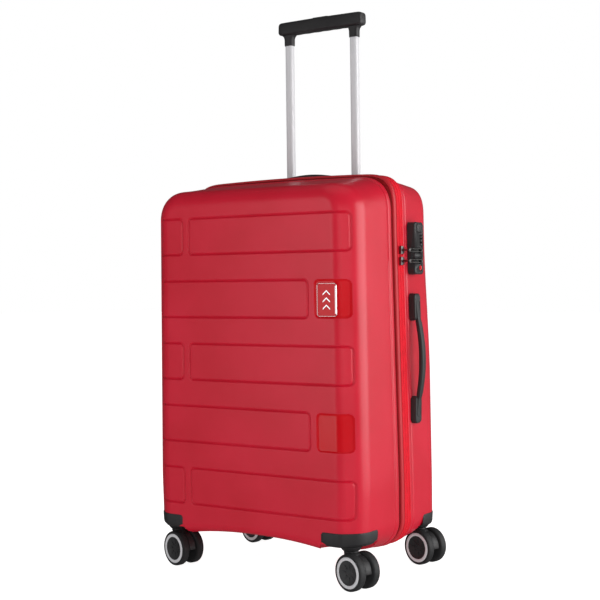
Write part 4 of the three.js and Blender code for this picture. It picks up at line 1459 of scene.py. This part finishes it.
def emblem():
    """Small plain badge: a thin bright edge, a bright bar down one side and three chevrons."""
    half_x, half_z = BADGE_HALF_WIDE, BADGE_HALF_HIGH
    face = LID_FACE + 2.3

    def frame_of(u, v, w):
        return (BADGE_X + u, face - w, BADGE_Z + v)

    outer = rounded_outline(half_x, half_z, 4.0, 8)
    inner = rounded_outline(half_x - 0.7, half_z - 0.7, 3.4, 8)
    rings = [ring_at(outline, height, frame_of) for outline, height in
             ((outer, -0.4), (outer, 0.9), (outer * 0.992, 1.1), (inner * 1.006, 1.1),
              (inner, 0.9), (inner, -0.4))]
    parts = [(*loft(rings, caps=False), 0)]
    parts.append((*prism(inner * 1.01, -0.4, 0.35, frame_of), 1))
    bar = [(half_x - 2.6, -22), (half_x - 1.3, -22), (half_x - 1.3, 22), (half_x - 2.6, 22)]
    parts.append((*prism(bar, 0.3, 1.1, frame_of), 0))
    for lift in (-13.0, -1.5, 10.0):
        chevron = [(-7.5, lift - 2.6), (-0.6, lift + 3.4), (6.3, lift - 2.6), (6.3, lift - 0.4),
                   (-0.6, lift + 5.6), (-7.5, lift - 0.4)]
        parts.append((*prism(chevron, 0.3, 1.1, frame_of), 0))
    points, faces, finishes = gather(*parts)
    badge = build("emblem_badge", points, faces, [CHROME, RED_GLOSS], sharp=40,
                  face_finish=finishes)
    place(badge, "emblem_chrome", "front_emblem")


# ---- camera, floor and light -----------------------------------------------------------
VIEW_FROM = (1.24658, -1.81208, 0.49660)
VIEW_TURN = (34.466, -0.922, -0.732)    # yaw, pitch and roll in degrees
VIEW_LENS = 75.553


def camera():
    data = bpy.data.cameras.new("view")
    data.lens = VIEW_LENS
    data.sensor_width = 36.0
    data.clip_start = 0.05
    data.clip_end = 60.0
    holder = added("view", data)
    yaw, pitch, roll = (math.radians(a) for a in VIEW_TURN)
    forward = Vector((-math.sin(yaw) * math.cos(pitch), math.cos(yaw) * math.cos(pitch),
                      math.sin(pitch)))
    level = Vector((math.cos(yaw), math.sin(yaw), 0.0))
    upright = level.cross(forward)
    right = math.cos(roll) * level + math.sin(roll) * upright
    up = -math.sin(roll) * level + math.cos(roll) * upright
    matrix = holder.matrix_world.to_4x4()
    for row in range(3):
        matrix[row][0], matrix[row][1], matrix[row][2] = right[row], up[row], -forward[row]
    matrix.translation = Vector(VIEW_FROM)
    holder.matrix_world = matrix
    bpy.context.scene.camera = holder


DARK_SIDE = (0.57, -0.82, 0.0)      # the studio is dark towards its front right


def softbox(name, at, towards, width, height, power, mirrored=True):
    data = bpy.data.lights.new(name, "AREA")
    data.shape = "RECTANGLE"
    data.size, data.size_y = width, height
    data.energy = power
    lamp = added(name, data)
    lamp.location = at
    lamp.rotation_mode = "QUATERNION"
    lamp.rotation_quaternion = (Vector(towards) - Vector(at)).to_track_quat("-Z", "Y")
    lamp.visible_camera = False
    lamp.visible_glossy = mirrored


def ray_choice(tree, flag, plain, chosen):
    """One shader for the rays that the flag names, and the plain one for all others."""
    mix = tree.nodes.new("ShaderNodeMixShader")
    for socket, source in zip(mix.inputs, (flag, plain, chosen)):
        tree.links.new(source, socket)
    return mix.outputs[0]


def surroundings():
    """White where it is seen, a soft fill for the light, and dimmer still in reflections."""
    world = bpy.data.worlds.new("studio")
    bpy.context.scene.world = world
    world.use_nodes = True
    tree = world.node_tree
    fill = tree.nodes["Background"]
    fill.inputs["Color"].default_value = (0.38, 0.38, 0.39, 1)
    seen = add_node(tree, "ShaderNodeBackground", {"Color": (1.0, 1.0, 1.0, 1)})
    mirrored = tree.nodes.new("ShaderNodeBackground")
    where = tree.nodes.new("ShaderNodeTexCoord")
    towards = add_node(tree, "ShaderNodeVectorMath", {1: DARK_SIDE}, operation="DOT_PRODUCT")
    tree.links.new(where.outputs["Generated"], towards.inputs[0])
    direction = tree.nodes.new("ShaderNodeSeparateXYZ")
    tree.links.new(where.outputs["Generated"], direction.inputs[0])
    level = graded(tree, towards.outputs["Value"], 0.17, 0.01, 0.35, 0.80)
    for part in (graded(tree, direction.outputs["Z"], 1.0, 0.15, 0.15, 0.7),
                 graded(tree, direction.outputs["X"], 0.25, 1.0, -0.8, -0.1)):
        level = maths(tree, "MULTIPLY", level, part)
    tree.links.new(level, mirrored.inputs["Color"])
    rays = tree.nodes.new("ShaderNodeLightPath")
    unseen = ray_choice(tree, rays.outputs["Is Glossy Ray"], fill.outputs[0], mirrored.outputs[0])
    surface = ray_choice(tree, rays.outputs["Is Camera Ray"], unseen, seen.outputs[0])
    tree.links.new(surface, tree.nodes["World Output"].inputs["Surface"])


def pale_floor():
    """White floor that glows a little, and leaves no streak in the gloss."""
    white, tree, shader = start_material("floor_white", 0.9)
    shader.inputs["Base Color"].default_value = (0.7, 0.7, 0.7, 1)
    shader.inputs["Emission Color"].default_value = (1.0, 1.0, 1.0, 1)
    rays = tree.nodes.new("ShaderNodeLightPath")
    glow = graded(tree, rays.outputs["Is Camera Ray"], 0.34, 0.90)
    tree.links.new(glow, shader.inputs["Emission Strength"])
    mesh = bpy.data.meshes.new("floor")
    far = 14.0
    corners = [(-far, -far, 0), (far, -far, 0), (far, far, 0), (-far, far, 0)]
    mesh.from_pydata(corners, [], [(0, 1, 2, 3)])
    mesh.materials.append(white)
    floor = added("floor", mesh)
    floor.visible_glossy = False


def studio():
    settings = bpy.context.scene.view_settings
    settings.view_transform = "Standard"
    settings.look = "None"
    surroundings()
    pale_floor()
    softbox("left_front", (-1.05, -2.5, 0.7), (0, 0, 0.35), 0.9, 1.8, 8)
    softbox("right_back", (2.4, 0.9, 0.8), (0.1, 0, 0.4), 2.6, 2.0, 54)
    softbox("overhead", (0.1, -0.2, 3.0), (0, 0, 0), 2.5, 2.5, 6)
    softbox("front_fill", (1.8, -2.2, 0.6), (0, 0, 0.3), 1.6, 1.6, 30, False)


camera()
studio()
shells()
closure()
interior()
castors()
trolley()
handles()
lock_case()
lock_details()
zip_pulls()
emblem()

refinish = {"outer_tube_left": SATIN, "outer_tube_right": SATIN, "trolley_foot": BLACK}
for label, _, _ in CORNERS:
    refinish[f"castor_axle_{label}"] = STEEL
for node, finish in refinish.items():
    for slot in frame["nodes"][node].material_slots:
        slot.material = finish
